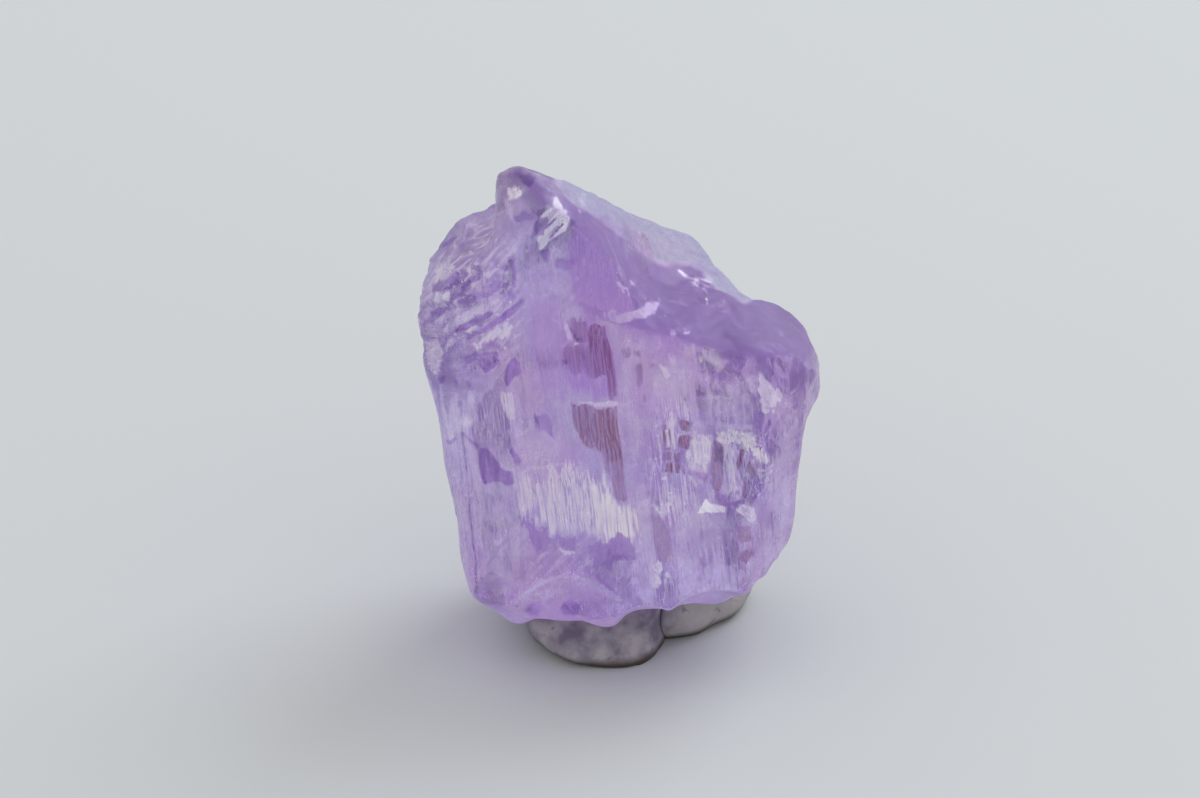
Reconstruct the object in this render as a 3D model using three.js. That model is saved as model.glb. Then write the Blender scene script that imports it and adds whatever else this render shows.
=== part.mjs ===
// Kunzite crystal standing on two pinches of mounting putty.
// Millimetres, +Z up, the viewer stands at -Y. The origin is on the table, under the middle of the whole.
//
// The crystal is worked out in a frame of its own, whose Z runs along its length, and is then leaned
// back and to the left as it stands. Its surface is the set of points where a field is zero:
// flat faces give a distance each, the largest distance wins inside one block, and the smallest over
// the three blocks that grew together. Broken places are spheres scooped out of that.

import * as THREE from "three";
import { mergeVertices } from "three/addons/utils/BufferGeometryUtils.js";

// ---------- Driving dimensions (mm and degrees) ----------

const CENTRE = new THREE.Vector3(-0.03, 0.3, 11.5); // middle of the crystal, above the table
const LEAN_BACK = 10;
const LEAN_LEFT = 6.5;
const EDGE_ROUNDING = 0.2; // how far a worn edge of the main block is melted back
const SEAM_ROUNDING = 0.4; // the same where two blocks meet in a valley
const RIB_HEIGHT = 0.12; // grooves that run along the crystal's length
const RIB_PITCH = 2.3;
const LEDGE_HEIGHT = 0.3; // slanting growth ledges on the left shoulder
const LEDGE_PITCH = 1.25;
const SCALLOP_HEIGHT = 0.28; // shallow waves under the base
const ETCH_HEIGHT = 0.09; // lumps that dissolving left on the worn faces
const SHOULDER_STEP = 0.34; // how far the upper left stands out over the lower left
const SEAT_GAP = 0.35; // room left between touching pieces
const PRESS_ROUNDING = 0.6; // how softly the putty's flats run into its round parts
const CRYSTAL_REACH = 15.5; // nothing of the crystal lies further from its middle than this

// Each piece is grown from a box of its own proportions: its sizes, and its grid cells along X, Y and Z.
const CRYSTAL_BOX = { size: [18, 10.6, 22.8], cells: [29, 17, 37] };
const PUTTY_BOX = { size: [6.4, 7.2, 3.6], cells: [8, 8, 4] };

// ---------- Small mathematics ----------

const radians = THREE.MathUtils.degToRad;

// A wave of straight flanks between -1 and +1, one wave long per unit of x.
function zigzag(x) {
  return Math.abs(4 * (x - Math.floor(x + 0.5))) - 1;
}

// The smaller of a and b, with the corner between them filled over a width k.
function blendMin(a, b, k) {
  const h = THREE.MathUtils.clamp(0.5 + (0.5 * (b - a)) / k, 0, 1);
  return b + (a - b) * h - k * h * (1 - h);
}

function blendMax(a, b, k) {
  return -blendMin(-a, -b, k);
}

// A face is a bearing (0 looks to the front, 90 to the right), an upward slope, a distance from the
// middle, and the finish that gives its relief.
function face(bearing, slope, distance, finish) {
  const a = radians(bearing);
  const e = radians(slope);
  const outward = new THREE.Vector3(Math.sin(a) * Math.cos(e), -Math.cos(a) * Math.cos(e), Math.sin(e));
  return { outward, across: new THREE.Vector2(Math.cos(a), Math.sin(a)), turn: bearing, distance, finish };
}

// ---------- Finishes: how far the surface stands out of its flat face, in mm ----------

const smooth = () => 0;

// Ribs and grooves along the crystal's length, deeper in some places than in others.
function ribbed(p, side) {
  const t = p.x * side.across.x + p.y * side.across.y;
  const drift = 0.15 * Math.sin(0.31 * p.z + 0.24 * t);
  const depth = 0.6 + 0.4 * Math.sin(0.5 * p.z + 1.3 * Math.sin(0.6 * t) + side.turn);
  return RIB_HEIGHT * depth * 0.7 * zigzag((t + drift) / RIB_PITCH + 0.13) + 0.08 * lumps(p, 1);
}

// The back is ribbed too, over broader lumps and hollows.
function roughBack(p, side) {
  return 1.2 * ribbed(p, side) + 0.13 * lumps(p, 1);
}

// Rounded lumps left by natural etching.
function lumps(p, scale) {
  const tangled = Math.sin(scale * p.x + 1.3 * Math.sin(0.7 * scale * p.z + 0.5))
    * Math.sin(0.9 * scale * p.y + 1.1 * Math.sin(0.8 * scale * p.x + 2));
  return tangled + 0.6 * Math.sin(1.7 * scale * p.z + 1.5 * Math.sin(1.1 * scale * p.y + 1) + 0.8 * scale * p.x);
}

function etched(p) {
  return ETCH_HEIGHT * lumps(p, 0.9);
}

// The border of the upper left, which wanders and drops a little to the right: 0 below it, 1 above.
function aboveStep(p) {
  return THREE.MathUtils.smoothstep(p.z + 0.22 * p.x + 1.6 + 0.35 * Math.sin(1.9 * p.x + p.y), 1.2, 4);
}

function steppedLeft(p, side) {
  return SHOULDER_STEP * aboveStep(p) + ribbed(p, side);
}

// Slanting ledges: each rises evenly, then drops back over the last part of its pitch.
function ledges(p) {
  const along = (-0.47 * p.x + 0.88 * p.z + 0.3 * Math.sin(0.9 * p.x + 0.4) + 0.25 * Math.sin(0.8 * p.y))
    / LEDGE_PITCH;
  const part = along - Math.floor(along);
  return LEDGE_HEIGHT * (THREE.MathUtils.smoothstep(part, 0.55, 1) - part) + 0.06 * lumps(p, 1.3);
}

// The shoulder's facet lies clear of the crystal below the step, and cuts it above.
function shoulder(p) {
  return 1.3 * (1 - aboveStep(p)) + ledges(p);
}

function scalloped(p) {
  return SCALLOP_HEIGHT * Math.sin(1.25 * p.x + 0.6) * Math.cos(0.9 * p.y + 0.3)
    + 0.12 * Math.sin(2.7 * p.x - 1.3 * p.y);
}

// ---------- The three blocks that grew together ----------

const mainBlock = {
  rounding: EDGE_ROUNDING,
  faces: [
    face(-4, 1.5, 5.15, ribbed), // front
    face(-50, 3, 8.05, ribbed), // front left
    face(-97, -4, 7.72, steppedLeft), // left
    face(94, -11, 8.2, ribbed), // right
    face(50, -8, 8.35, ribbed), // front right
    face(178, 1.5, 5.3, roughBack), // back
    face(-138, 5, 7.1, roughBack), // back left
    face(129, 2, 6.2, roughBack), // back right
    face(66, 55, 5.95, etched), // sloping top
    face(20, 33, 6.65, etched), // worn edge between the front and the sloping top
    face(-38, 4, 7, shoulder), // left shoulder
    face(-70, 64, 10.05, etched), // crown of the left shoulder
    face(-80, 38, 10.3, ledges), // fall of the left shoulder
    face(-165, 50, 8.9, etched), // worn edge at the back left
    face(150, 45, 8.34, etched), // top, at the back
    face(100, -87, 9.05, scalloped), // base
    face(86, -52, 9.9, etched), // bevel under the right
    face(-88, -38, 10.7, etched), // bevel under the left
    face(-22, -42, 9.95, etched), // bevel under the front
  ],
};

const horn = {
  rounding: 0.25,
  faces: [
    face(-4, -3, 4.45, ribbed),
    face(-92, 10, 6.1, etched),
    face(80, 50, 7.65, etched),
    face(80, 25, 4.5, etched),
    face(175, 45, 6.7, etched),
    face(20, 78, 12.1, etched),
    face(-40, 30, 9.6, etched),
    face(180, 0, 3, smooth), // from here on inside the main block
    face(0, -90, -3, smooth),
  ],
};

const cap = {
  rounding: 0.3,
  faces: [
    face(-4, -4, 4.6, etched),
    face(60, 70, 5.85, etched),
    face(92, 0, 9.1, etched),
    face(85, 40, 8.15, etched),
    face(80, -35, 7.85, etched),
    face(50, -8, 8.5, etched),
    face(160, 40, 4.45, etched),
    face(-90, 0, 0, smooth), // from here on inside the main block
    face(180, 0, 1.5, smooth),
    face(0, -90, 3, smooth),
  ],
};

// A shell-shaped break: the middle and radius of the sphere that it follows, and how worn its lip is.
function scoop(x, y, z, radius, lip) {
  return { middle: new THREE.Vector3(x, y, z), radius, lip };
}

const scoops = [
  scoop(5.6, -8.9, -2.4, 4, 0.15), // the big bowl at the lower right of the front
  scoop(3.9, -7.3, -1.3, 2.35, 0.12),
  scoop(7.6, -6.9, -2, 2.3, 0.2),
  scoop(6.2, -6.6, -5.9, 1.6, 0.25),
  scoop(-3, -7.6, -8.6, 2.9, 0.2), // chips along the front's lower lip
  scoop(-6.6, -6.4, -7.9, 2.2, 0.2),
  scoop(0.3, -5.6, -10.3, 1.95, 0.25),
  scoop(3.4, -6, -10.8, 2.95, 0.25),
  scoop(-2.6, 8.4, 3.4, 3.5, 0.2), // two shallow breaks on the back
  scoop(2.2, 8.7, -4.6, 3.7, 0.2),
];

// Distance outside one block: the largest of its faces' distances, melted together near its edges
// by the logarithm of a sum of exponentials.
function blockField(block, p) {
  const outside = block.faces.map((f) => p.dot(f.outward) - f.distance - f.finish(p, f));
  const most = Math.max(...outside);
  const sum = outside.reduce((total, v) => total + Math.exp((v - most) / block.rounding), 0);
  return most + block.rounding * Math.log(sum);
}

// Below zero inside the crystal, and close to the distance in mm outside it.
function crystalField(p) {
  let field = blockField(mainBlock, p);
  field = blendMin(field, blockField(horn, p), SEAM_ROUNDING);
  field = blendMin(field, blockField(cap, p), SEAM_ROUNDING);
  for (const s of scoops) {
    field = blendMax(field, s.radius - p.distanceTo(s.middle), s.lip);
  }
  return field;
}

// ---------- From field to mesh ----------

// Moves each point of a box grid along its line from the middle until it meets the field's surface. The
// line is searched from outside in, so that the point lands on the outermost wall, and then halved in.
function grow(field, middle, reach, box) {
  const grid = new THREE.BoxGeometry(...box.size, ...box.cells);
  grid.deleteAttribute("normal");
  grid.deleteAttribute("uv");
  const skin = mergeVertices(grid, 1e-6);
  const corners = skin.getAttribute("position");
  const direction = new THREE.Vector3();
  const point = new THREE.Vector3();
  const at = (radius) => field(point.copy(direction).multiplyScalar(radius).add(middle));
  for (let i = 0; i < corners.count; i++) {
    direction.fromBufferAttribute(corners, i).normalize();
    const stride = reach / 50;
    let outer = reach;
    while (outer > stride && at(outer - stride) > 0) {
      outer -= stride;
    }
    let inner = outer - stride;
    for (let halving = 0; halving < 14; halving++) {
      const mid = (inner + outer) / 2;
      if (at(mid) > 0) {
        outer = mid;
      } else {
        inner = mid;
      }
    }
    corners.setXYZ(i, ...point.copy(direction).multiplyScalar(inner).add(middle).toArray());
  }
  skin.computeVertexNormals();
  return skin;
}

// ---------- The crystal ----------

const crystal = new THREE.Mesh(
  grow(crystalField, new THREE.Vector3(), CRYSTAL_REACH, CRYSTAL_BOX),
  new THREE.MeshStandardMaterial({ color: 0xa995c4, roughness: 0.25, metalness: 0 }),
);
crystal.name = "crystal";
crystal.position.copy(CENTRE);
crystal.rotation.set(radians(-LEAN_BACK), radians(-LEAN_LEFT), 0, "YXZ");
crystal.updateMatrixWorld();

// ---------- The putty ----------

const intoCrystal = crystal.matrixWorld.clone().invert();

// A pinch of putty is an egg shape, turned about Z, with the flats that a thumb and fingers pressed into
// it. A press is a bearing, an upward slope and a distance from the lump's middle. One thumb mark is round.
function pinch(x, y, z, halfLength, halfWidth, halfHeight, turn, presses, thumb, thumbRadius) {
  const middle = new THREE.Vector3(x, y, z);
  const c = Math.cos(radians(turn));
  const s = Math.sin(radians(turn));
  const thinnest = Math.min(halfLength, halfWidth, halfHeight);
  const flats = presses.map(([bearing, slope, distance]) => face(bearing, slope, distance, smooth));
  return (p) => {
    const q = p.clone().sub(middle);
    const along = (c * q.x + s * q.y) / halfLength;
    const across = (c * q.y - s * q.x) / halfWidth;
    const egg = (Math.hypot(along, across, q.z / halfHeight) - 1) * thinnest;
    const dent = thumbRadius - p.distanceTo(thumb);
    const flattened = flats.reduce(
      (out, f) => blendMax(out, q.dot(f.outward) - f.distance, PRESS_ROUNDING), egg,
    );
    return blendMax(flattened, dent, PRESS_ROUNDING / 2);
  };
}

function pressed(lump, neighbour) {
  return (p) => {
    const crystalDent = SEAT_GAP - crystalField(p.clone().applyMatrix4(intoCrystal));
    const neighbourDent = neighbour ? SEAT_GAP - neighbour(p) : -Infinity;
    return Math.max(lump(p), crystalDent, neighbourDent, -p.z);
  };
}

const frontPinch = pinch(
  -0.74, -0.83, 1.2, 3.85, 5.1, 1.9, 8, [[-18, 26, 3.6], [28, 14, 3.55], [74, 4, 3.05]],
  new THREE.Vector3(0.35, -9.4, 2.8), 5.3,
);
const backPinch = pinch(
  2.72, 0.52, 1.3, 4, 2.9, 1.8, 41, [[48, 20, 2.1]], new THREE.Vector3(9.2, -5, 2.2), 5.6,
);

const puttyFinish = { color: 0x8d8884, roughness: 0.75, metalness: 0 };

const puttyFront = new THREE.Mesh(
  grow(pressed(frontPinch), new THREE.Vector3(-0.74, -0.93, 0.45), 7, PUTTY_BOX),
  new THREE.MeshStandardMaterial(puttyFinish),
);
puttyFront.name = "putty_front";

const puttyBack = new THREE.Mesh(
  grow(pressed(backPinch, frontPinch), new THREE.Vector3(3.78, 1.33, 0.4), 7, PUTTY_BOX),
  new THREE.MeshStandardMaterial(puttyFinish),
);
puttyBack.name = "putty_back";

const specimen = new THREE.Group();
specimen.add(crystal, puttyFront, puttyBack);

export default specimen;
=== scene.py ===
# %% [markdown]
# # A kunzite crystal on mounting putty
# Kunzite is the lilac gem kind of spodumene. This one is a stubby prism, ribbed along its length, with
# faces that nature has etched and a horn at one corner. It stands on two pinches of grey-white putty.
# The lesson grows the stone's skin from a few flat faces, etches it, fills it with clear lilac stone
# and lights it softly.

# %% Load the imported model
import bpy
import numpy as np
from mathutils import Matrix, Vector


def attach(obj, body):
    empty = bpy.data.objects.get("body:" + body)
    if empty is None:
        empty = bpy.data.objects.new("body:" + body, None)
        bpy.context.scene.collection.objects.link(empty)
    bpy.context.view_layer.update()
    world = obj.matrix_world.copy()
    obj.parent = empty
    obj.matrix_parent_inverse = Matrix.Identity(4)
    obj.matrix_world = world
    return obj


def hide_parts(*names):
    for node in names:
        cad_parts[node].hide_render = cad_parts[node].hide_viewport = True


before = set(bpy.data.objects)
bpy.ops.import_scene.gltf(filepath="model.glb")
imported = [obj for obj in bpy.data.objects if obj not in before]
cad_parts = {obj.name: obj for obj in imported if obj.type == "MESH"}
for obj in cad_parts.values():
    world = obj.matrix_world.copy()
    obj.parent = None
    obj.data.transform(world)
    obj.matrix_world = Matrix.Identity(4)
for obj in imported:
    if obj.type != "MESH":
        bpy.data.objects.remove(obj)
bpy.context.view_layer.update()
print("pieces in the frame:", sorted(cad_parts))

MM = 0.001

# %% [markdown]
# ## Small helpers
# Colours are picked on screen as sRGB hex, and shaders count in linear light, so one function turns them.
# Nodes could be drawn by hand in the editor. One function adds a node of any kind with its settings and
# links in one line instead, so that a material reads from top to bottom like a recipe.

# %% Colour and node helpers
def linear(hex_colour):
    """#rrggbb in linear light: each channel c is c / 12.92 if dark, else ((c + 0.055) / 1.055) ** 2.4."""
    c = np.array([int(hex_colour[i:i + 2], 16) for i in (1, 3, 5)]) / 255
    return [*np.where(c < 0.04045, c / 12.92, ((c + 0.055) / 1.055) ** 2.4).tolist(), 1.0]


def add(tree, kind, *values, output="", **named):
    """Adds a node and gives back the output that is asked for, or else the first one in use.

    Values and links fill the inputs that are in use, in order. A name with a capital is an input, with _ for
    a space, and any other name is a property of the node.
    """
    node = tree.nodes.new("ShaderNode" + kind)
    for name, value in named.items():
        if name[0].islower():
            setattr(node, name, value)
    filled = list(zip([socket for socket in node.inputs if socket.enabled], values))
    filled += [(node.inputs[name.replace("_", " ")], value)
               for name, value in named.items() if name[0].isupper()]
    for socket, value in filled:
        if isinstance(value, bpy.types.NodeSocket):
            tree.links.new(value, socket)
        else:
            socket.default_value = value
    if output:
        return node.outputs[output]
    return next(socket for socket in node.outputs if socket.enabled)


def new_material(name):
    """An empty node material, its node tree and its output node."""
    material = bpy.data.materials.new(name)
    material.use_nodes = True
    material.node_tree.nodes.clear()
    return material, material.node_tree, material.node_tree.nodes.new("ShaderNodeOutputMaterial")


# %% [markdown]
# ## Camera, floor and light
# A long lens, 30 centimetres away, looks 28 degrees down on the specimen. The floor is a wide pale sheet.
# Light comes from a pale room all round, and from one large soft lamp high on the right and behind, so
# that it shines through the stone towards the viewer.

# %% Camera
LENS = 198.0
DISTANCE = 0.300
LOOK_DOWN = np.radians(28.0)
AIM = Vector((-0.94, -0.60, 11.83)) * MM
NEAREST, FURTHEST = 0.01, 20.0

camera_data = bpy.data.cameras.new("camera")
camera_data.lens = LENS
camera_data.clip_start = NEAREST
camera_data.clip_end = FURTHEST
camera = bpy.data.objects.new("camera", camera_data)
bpy.context.scene.collection.objects.link(camera)
camera.location = AIM + Vector((0, -np.cos(LOOK_DOWN), np.sin(LOOK_DOWN))) * DISTANCE
camera.rotation_euler = (AIM - camera.location).to_track_quat("-Z", "Y").to_euler()
bpy.context.scene.camera = camera
print("camera", round(DISTANCE * 1000), "mm from the stone, lens", LENS, "mm")

# %% Floor
FLOOR_HALF = 3.0
floor_corners = [(-FLOOR_HALF, -FLOOR_HALF, 0), (FLOOR_HALF, -FLOOR_HALF, 0), (FLOOR_HALF, FLOOR_HALF, 0),
                 (-FLOOR_HALF, FLOOR_HALF, 0)]
floor_mesh = bpy.data.meshes.new("floor")
floor_mesh.from_pydata(floor_corners, [], [(0, 1, 2, 3)])
floor = bpy.data.objects.new("floor", floor_mesh)
bpy.context.scene.collection.objects.link(floor)
paper, tree, output = new_material("pale matte table")
shader = add(tree, "BsdfPrincipled", Base_Color=linear("#c6c8c8"), Roughness=0.9, Specular_IOR_Level=0.2)
tree.links.new(shader, output.inputs["Surface"])
floor_mesh.materials.append(paper)
print("floor:", 2 * FLOOR_HALF, "m square")

# %% Room light and one soft lamp
ROOM_STRENGTH = 1.02
LAMP_SIDE, LAMP_WATTS = 0.35, 1.3
LAMP_PLACE, LAMP_AIM = Vector((0.28, 0.26, 0.36)), Vector((0, 0, 0.01))

world = bpy.data.worlds.new("pale room")
world.use_nodes = True
bpy.context.scene.world = world
world.node_tree.nodes["Background"].inputs["Color"].default_value = linear("#e9eaec")
world.node_tree.nodes["Background"].inputs["Strength"].default_value = ROOM_STRENGTH

lamp_data = bpy.data.lights.new("window", "AREA")
lamp_data.shape = "RECTANGLE"
lamp_data.size = LAMP_SIDE
lamp_data.size_y = LAMP_SIDE
lamp_data.energy = LAMP_WATTS
lamp_data.color = linear("#f0f7ff")[:3]
lamp = bpy.data.objects.new("window", lamp_data)
bpy.context.scene.collection.objects.link(lamp)
lamp.location = LAMP_PLACE
lamp.rotation_euler = (LAMP_AIM - lamp.location).to_track_quat("-Z", "Y").to_euler()

bpy.context.scene.view_settings.view_transform = "Standard"
print("lamp:", LAMP_SIDE, "m square,", LAMP_WATTS, "W,", round(lamp.location.length, 2), "m from the stone")

# %% [markdown]
# ## The crystal's form
# A crystal is bounded by flat faces. In the stone's own frame, whose Z runs along its length, each face
# is a compass bearing (0 to the front, 90 to the right), an upward slope and a distance from the middle.
# The faces could be cut from a cube one by one, but as distances they can carry relief and worn edges.
# The stone leans a little back and a little to the left where it sits in the putty.

# %% Where the stone stands, and directions
CENTRE = np.array([-0.03, 0.3, 11.5])
LEAN_BACK, LEAN_LEFT = np.radians(10.0), np.radians(6.5)


def turn(lean, roll):
    """The rotation that leans the stone back about X, then to the left about Y."""
    cx, sx = np.cos(-lean), np.sin(-lean)
    cy, sy = np.cos(-roll), np.sin(-roll)
    about_x = np.array([[1, 0, 0], [0, cx, -sx], [0, sx, cx]])
    about_y = np.array([[cy, 0, sy], [0, 1, 0], [-sy, 0, cy]])
    return about_y @ about_x


STANCE = turn(LEAN_BACK, LEAN_LEFT)


def outward(bearing, slope):
    """The unit direction of a bearing and a slope: (sin b cos s, -cos b cos s, sin s)."""
    a, e = np.radians(bearing), np.radians(slope)
    return np.array([np.sin(a) * np.cos(e), -np.cos(a) * np.cos(e), np.sin(e)])


print("the stone's length points along", np.round(STANCE[:, 2], 2))


# %% [markdown]
# ## Shapes of the relief
# Natural faces are seldom flat. Prism faces carry straight ribs and broken strips along the length; the
# slanting faces are gently lumpy; the left shoulder has climbed in curved ledges. Each of these is a height
# in millimetres above its flat face, put together from waves, steps and a repeatable chance. A sculpting
# brush could do it too, but a formula gives the same stone every time and at every fineness.

# %% Building blocks of relief
def zigzag(x):
    """A straight-sided wave from -1 to 1 that repeats every 1."""
    return np.abs(4 * (x - np.floor(x + 0.5))) - 1


def rise(low, high, x):
    """A smooth step, 3 t^2 - 2 t^3: 0 below low and 1 above high, or falling where low is above high."""
    t = np.clip((x - low) / (high - low), 0, 1)
    return t * t * (3 - 2 * t)


def blend_min(a, b, k):
    """The smaller of a and b, rounded over where they differ by less than k."""
    h = np.clip(0.5 + 0.5 * (b - a) / k, 0, 1)
    return b + (a - b) * h - k * h * (1 - h)


def blend_max(a, b, k):
    """The larger of a and b, rounded in the same way."""
    return -blend_min(-a, -b, k)


def lumps(x, y, z, s):
    """Soft uneven lumps: sine waves of s radians a millimetre whose phases are bent by other sine waves."""
    right = np.sin(s * x + 1.3 * np.sin(0.7 * s * z + 0.5))
    back = np.sin(s * 0.9 * y + 1.1 * np.sin(0.8 * s * x + 2))
    return right * back + 0.6 * np.sin(1.7 * s * z + 1.5 * np.sin(1.1 * s * y + 1) + 0.8 * s * x)


def chance(i, j):
    """A number from 0 to 1 that looks random, but is the same for the same i and j."""
    v = np.sin(i * 12.9898 + j * 78.233) * 43758.5453
    return v - np.floor(v)


def laths(t, z, width, length, seed):
    """Strips along the crystal, broken into lengths with pointed ends, each at one height from 0 to 1."""
    across = t / width
    strip = np.floor(across)
    point = 1.6 * width * np.abs(2 * (across - strip) - 1)
    span = length * (0.5 + chance(strip, seed + 3))
    piece = np.floor((z + 30 * chance(strip, seed) + point) / span)
    return chance(strip * 1.37 + 0.5, piece + seed)


# %% Relief of each kind of face
def along_face(x, y, side):
    """Millimetres to the right along a face: x cos b + y sin b for its bearing b."""
    a = np.radians(side[0])
    return x * np.cos(a) + y * np.sin(a)


def ribbed(x, y, z, side):
    """Growth ribs of three widths that drift and fade along the crystal, with broken strips on them."""
    t = along_face(x, y, side)
    drift = 0.15 * np.sin(0.31 * z + 0.24 * t) + 0.05 * np.sin(0.9 * z + 1.7 * t)
    depth = 0.6 + 0.4 * np.sin(0.5 * z + 1.3 * np.sin(0.6 * t) + side[0])
    wave = (0.50 * zigzag((t + drift) / 2.3 + 0.13) + 0.30 * zigzag((t - 0.5 * drift) / 1.31 + 0.41)
            + 0.20 * zigzag((t + 0.3 * drift) / 0.77 + 0.77))
    bent = t + drift
    strips = 0.08 * laths(bent, z, 1.35, 9.0, side[0]) + 0.04 * laths(bent, z, 0.62, 5.0, side[0] + 1)
    return 0.12 * depth * wave + strips - 0.06 + 0.08 * lumps(x, y, z, 1.0)


def rough_back(x, y, z, side):
    """The back: deeper ribs over lumps and hollows."""
    return 1.1 * ribbed(x, y, z, side) + 0.12 * lumps(x, y, z, 1.0) + 0.03 * lumps(x + 3, y, z, 2.0)


def above_step(x, y, z):
    """1 above the step that crosses the left side, and 0 below it."""
    return rise(1.2, 4.0, z + 0.22 * x + 1.6 + 0.35 * np.sin(1.9 * x + y))


def stepped(x, y, z, side):
    """The left side: ribbed, and standing further out above the step."""
    return 0.34 * above_step(x, y, z) + ribbed(x, y, z, side)


def ledges(x, y, z, side):
    """Curved ledges that climb to the right, a broad flight with a fine flight on it."""
    along = (-0.47 * x + 0.88 * z + 0.3 * np.sin(0.9 * x + 0.4) + 0.25 * np.sin(0.8 * y)) / 1.25
    part = along - np.floor(along)
    fine = along * 3.1 + 0.5 * np.sin(2.2 * x) + 0.3 * np.sin(1.3 * y + 2 * x)
    fine_part = fine - np.floor(fine)
    return (0.30 * (rise(0.6, 1.0, part) - part) + 0.12 * (rise(0.6, 1.0, fine_part) - fine_part)
            + 0.06 * lumps(x, y, z, 1.3))


def shoulder(x, y, z, side):
    """The shoulder's front: its ledges show only above the step."""
    return 1.3 * (1 - above_step(x, y, z)) + ledges(x, y, z, side)


def etched(x, y, z, side):
    """Gently lumpy, as acid leaves a slanting face."""
    return 0.09 * lumps(x, y, z, 0.9) + 0.05 * lumps(x, y + 2, z, 2.3) + 0.02 * lumps(x, y, z, 5.1)


def scalloped(x, y, z, side):
    """The broken foot: shallow scallops and lumps."""
    scallops = 0.28 * np.sin(1.25 * x + 0.6) * np.cos(0.9 * y + 0.3)
    return scallops + 0.12 * np.sin(2.7 * x - 1.3 * y) + 0.06 * lumps(x, y, z, 2.9)


def plain(x, y, z, side):
    """No relief: a cut that ends hidden inside the stone."""
    return 0.0


# %% [markdown]
# ## Blocks and hollows
# Three blocks make the stone: the main prism, the horn on its front left corner and the low cap on its
# right. Each is as many faces as it needs, and a point is inside when it is behind them all. Round hollows
# are then scooped out of the front, the foot and the back. The blocks could be meshes joined by booleans,
# but distances melt into each other without a seam.

# %% The faces: bearing, slope, distance, relief
MAIN = [
    # The sides: the front and what flanks it, then the back.
    (-4, 1.5, 5.15, ribbed), (-50, 3, 8.05, ribbed), (-97, -4, 7.72, stepped), (94, -11, 8.2, ribbed),
    (50, -8, 8.35, ribbed), (178, 1.5, 5.3, rough_back), (-138, 5, 7.1, rough_back),
    (129, 2, 6.2, rough_back),
    # The sloping top and the left shoulder.
    (66, 55, 5.95, etched), (20, 33, 6.65, etched), (-38, 4, 7, shoulder), (-70, 64, 10.05, etched),
    (-80, 38, 10.3, ledges), (-165, 50, 8.9, etched), (150, 45, 8.34, etched),
    # The foot.
    (100, -87, 9.05, scalloped), (86, -52, 9.9, etched), (-88, -38, 10.7, etched), (-22, -42, 9.95, etched),
]
HORN = [
    (-4, -3, 4.45, ribbed), (-92, 10, 6.1, etched), (80, 50, 7.65, etched), (80, 25, 4.5, etched),
    (175, 45, 6.7, etched), (20, 78, 12.1, etched), (-40, 30, 9.6, etched), (180, 0, 3, plain),
    (0, -90, -3, plain),
]
CAP = [
    (-4, -4, 4.6, etched), (60, 70, 5.85, etched), (92, 0, 9.1, etched), (85, 40, 8.15, etched),
    (80, -35, 7.85, etched), (50, -8, 8.5, etched), (160, 40, 4.45, etched), (-90, 0, 0, plain),
    (180, 0, 1.5, plain), (0, -90, 3, plain),
]
# Each block with the width in mm over which its edges are worn.
BLOCKS = [(MAIN, 0.12), (HORN, 0.2), (CAP, 0.25)]
BLOCK_MELT = 0.35

# Each hollow: the middle of a ball, its radius, and how softly its rim is rounded.
HOLLOWS = [
    ((5.6, -8.9, -2.4), 4, 0.1), ((3.9, -7.3, -1.3), 2.35, 0.1), ((7.6, -6.9, -2), 2.3, 0.15),
    ((6.2, -6.6, -5.9), 1.6, 0.2), ((-3, -7.6, -8.6), 2.9, 0.15), ((-6.6, -6.4, -7.9), 2.2, 0.15),
    ((0.3, -5.6, -10.3), 1.95, 0.2), ((3.4, -6, -10.8), 2.95, 0.2), ((-2.6, 8.4, 3.4), 3.5, 0.15),
    ((2.2, 8.7, -4.6), 3.7, 0.15),
]
# No relief is deeper than this, so a face that lies further behind the outermost one is left alone.
DEEPEST = 2.6
print("faces:", [len(sides) for sides, _ in BLOCKS], "and", len(HOLLOWS), "hollows")


# %% Fields: negative inside the stone, positive outside
def melted(out, k):
    """The largest of each row, rounded where others come near: k times the log of the summed exp(out / k)."""
    most = out.max(1)
    return most + k * np.log(np.exp((out - most[:, None]) / k).sum(1))


def block_field(p, sides, rounding):
    """The largest distance outside the faces. Relief is only worked out where a face could win."""
    normals = np.array([outward(s[0], s[1]) for s in sides])
    out = p @ normals.T - np.array([s[2] for s in sides])
    most = out.max(1)
    for i, side in enumerate(sides):
        near = np.nonzero(out[:, i] > most - DEEPEST)[0]
        out[near, i] -= side[3](*p[near].T, side)
    return melted(out, rounding)


def crystal_field(p):
    """The nearest of the blocks, with the hollows taken away."""
    field = None
    for sides, rounding in BLOCKS:
        block = block_field(p, sides, rounding)
        field = block if field is None else blend_min(field, block, BLOCK_MELT)
    for middle, radius, lip in HOLLOWS:
        field = blend_max(field, radius - np.linalg.norm(p - np.array(middle), axis=1), lip)
    return field


# %% [markdown]
# ## Growing a skin
# The skin is a sheet of squares wrapped round a box with the stone's proportions. Every corner of the sheet
# walks in from outside along its own line until the field says it has touched stone. A volume could be
# meshed instead, but this sheet keeps even squares and has no holes to mend.

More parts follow.
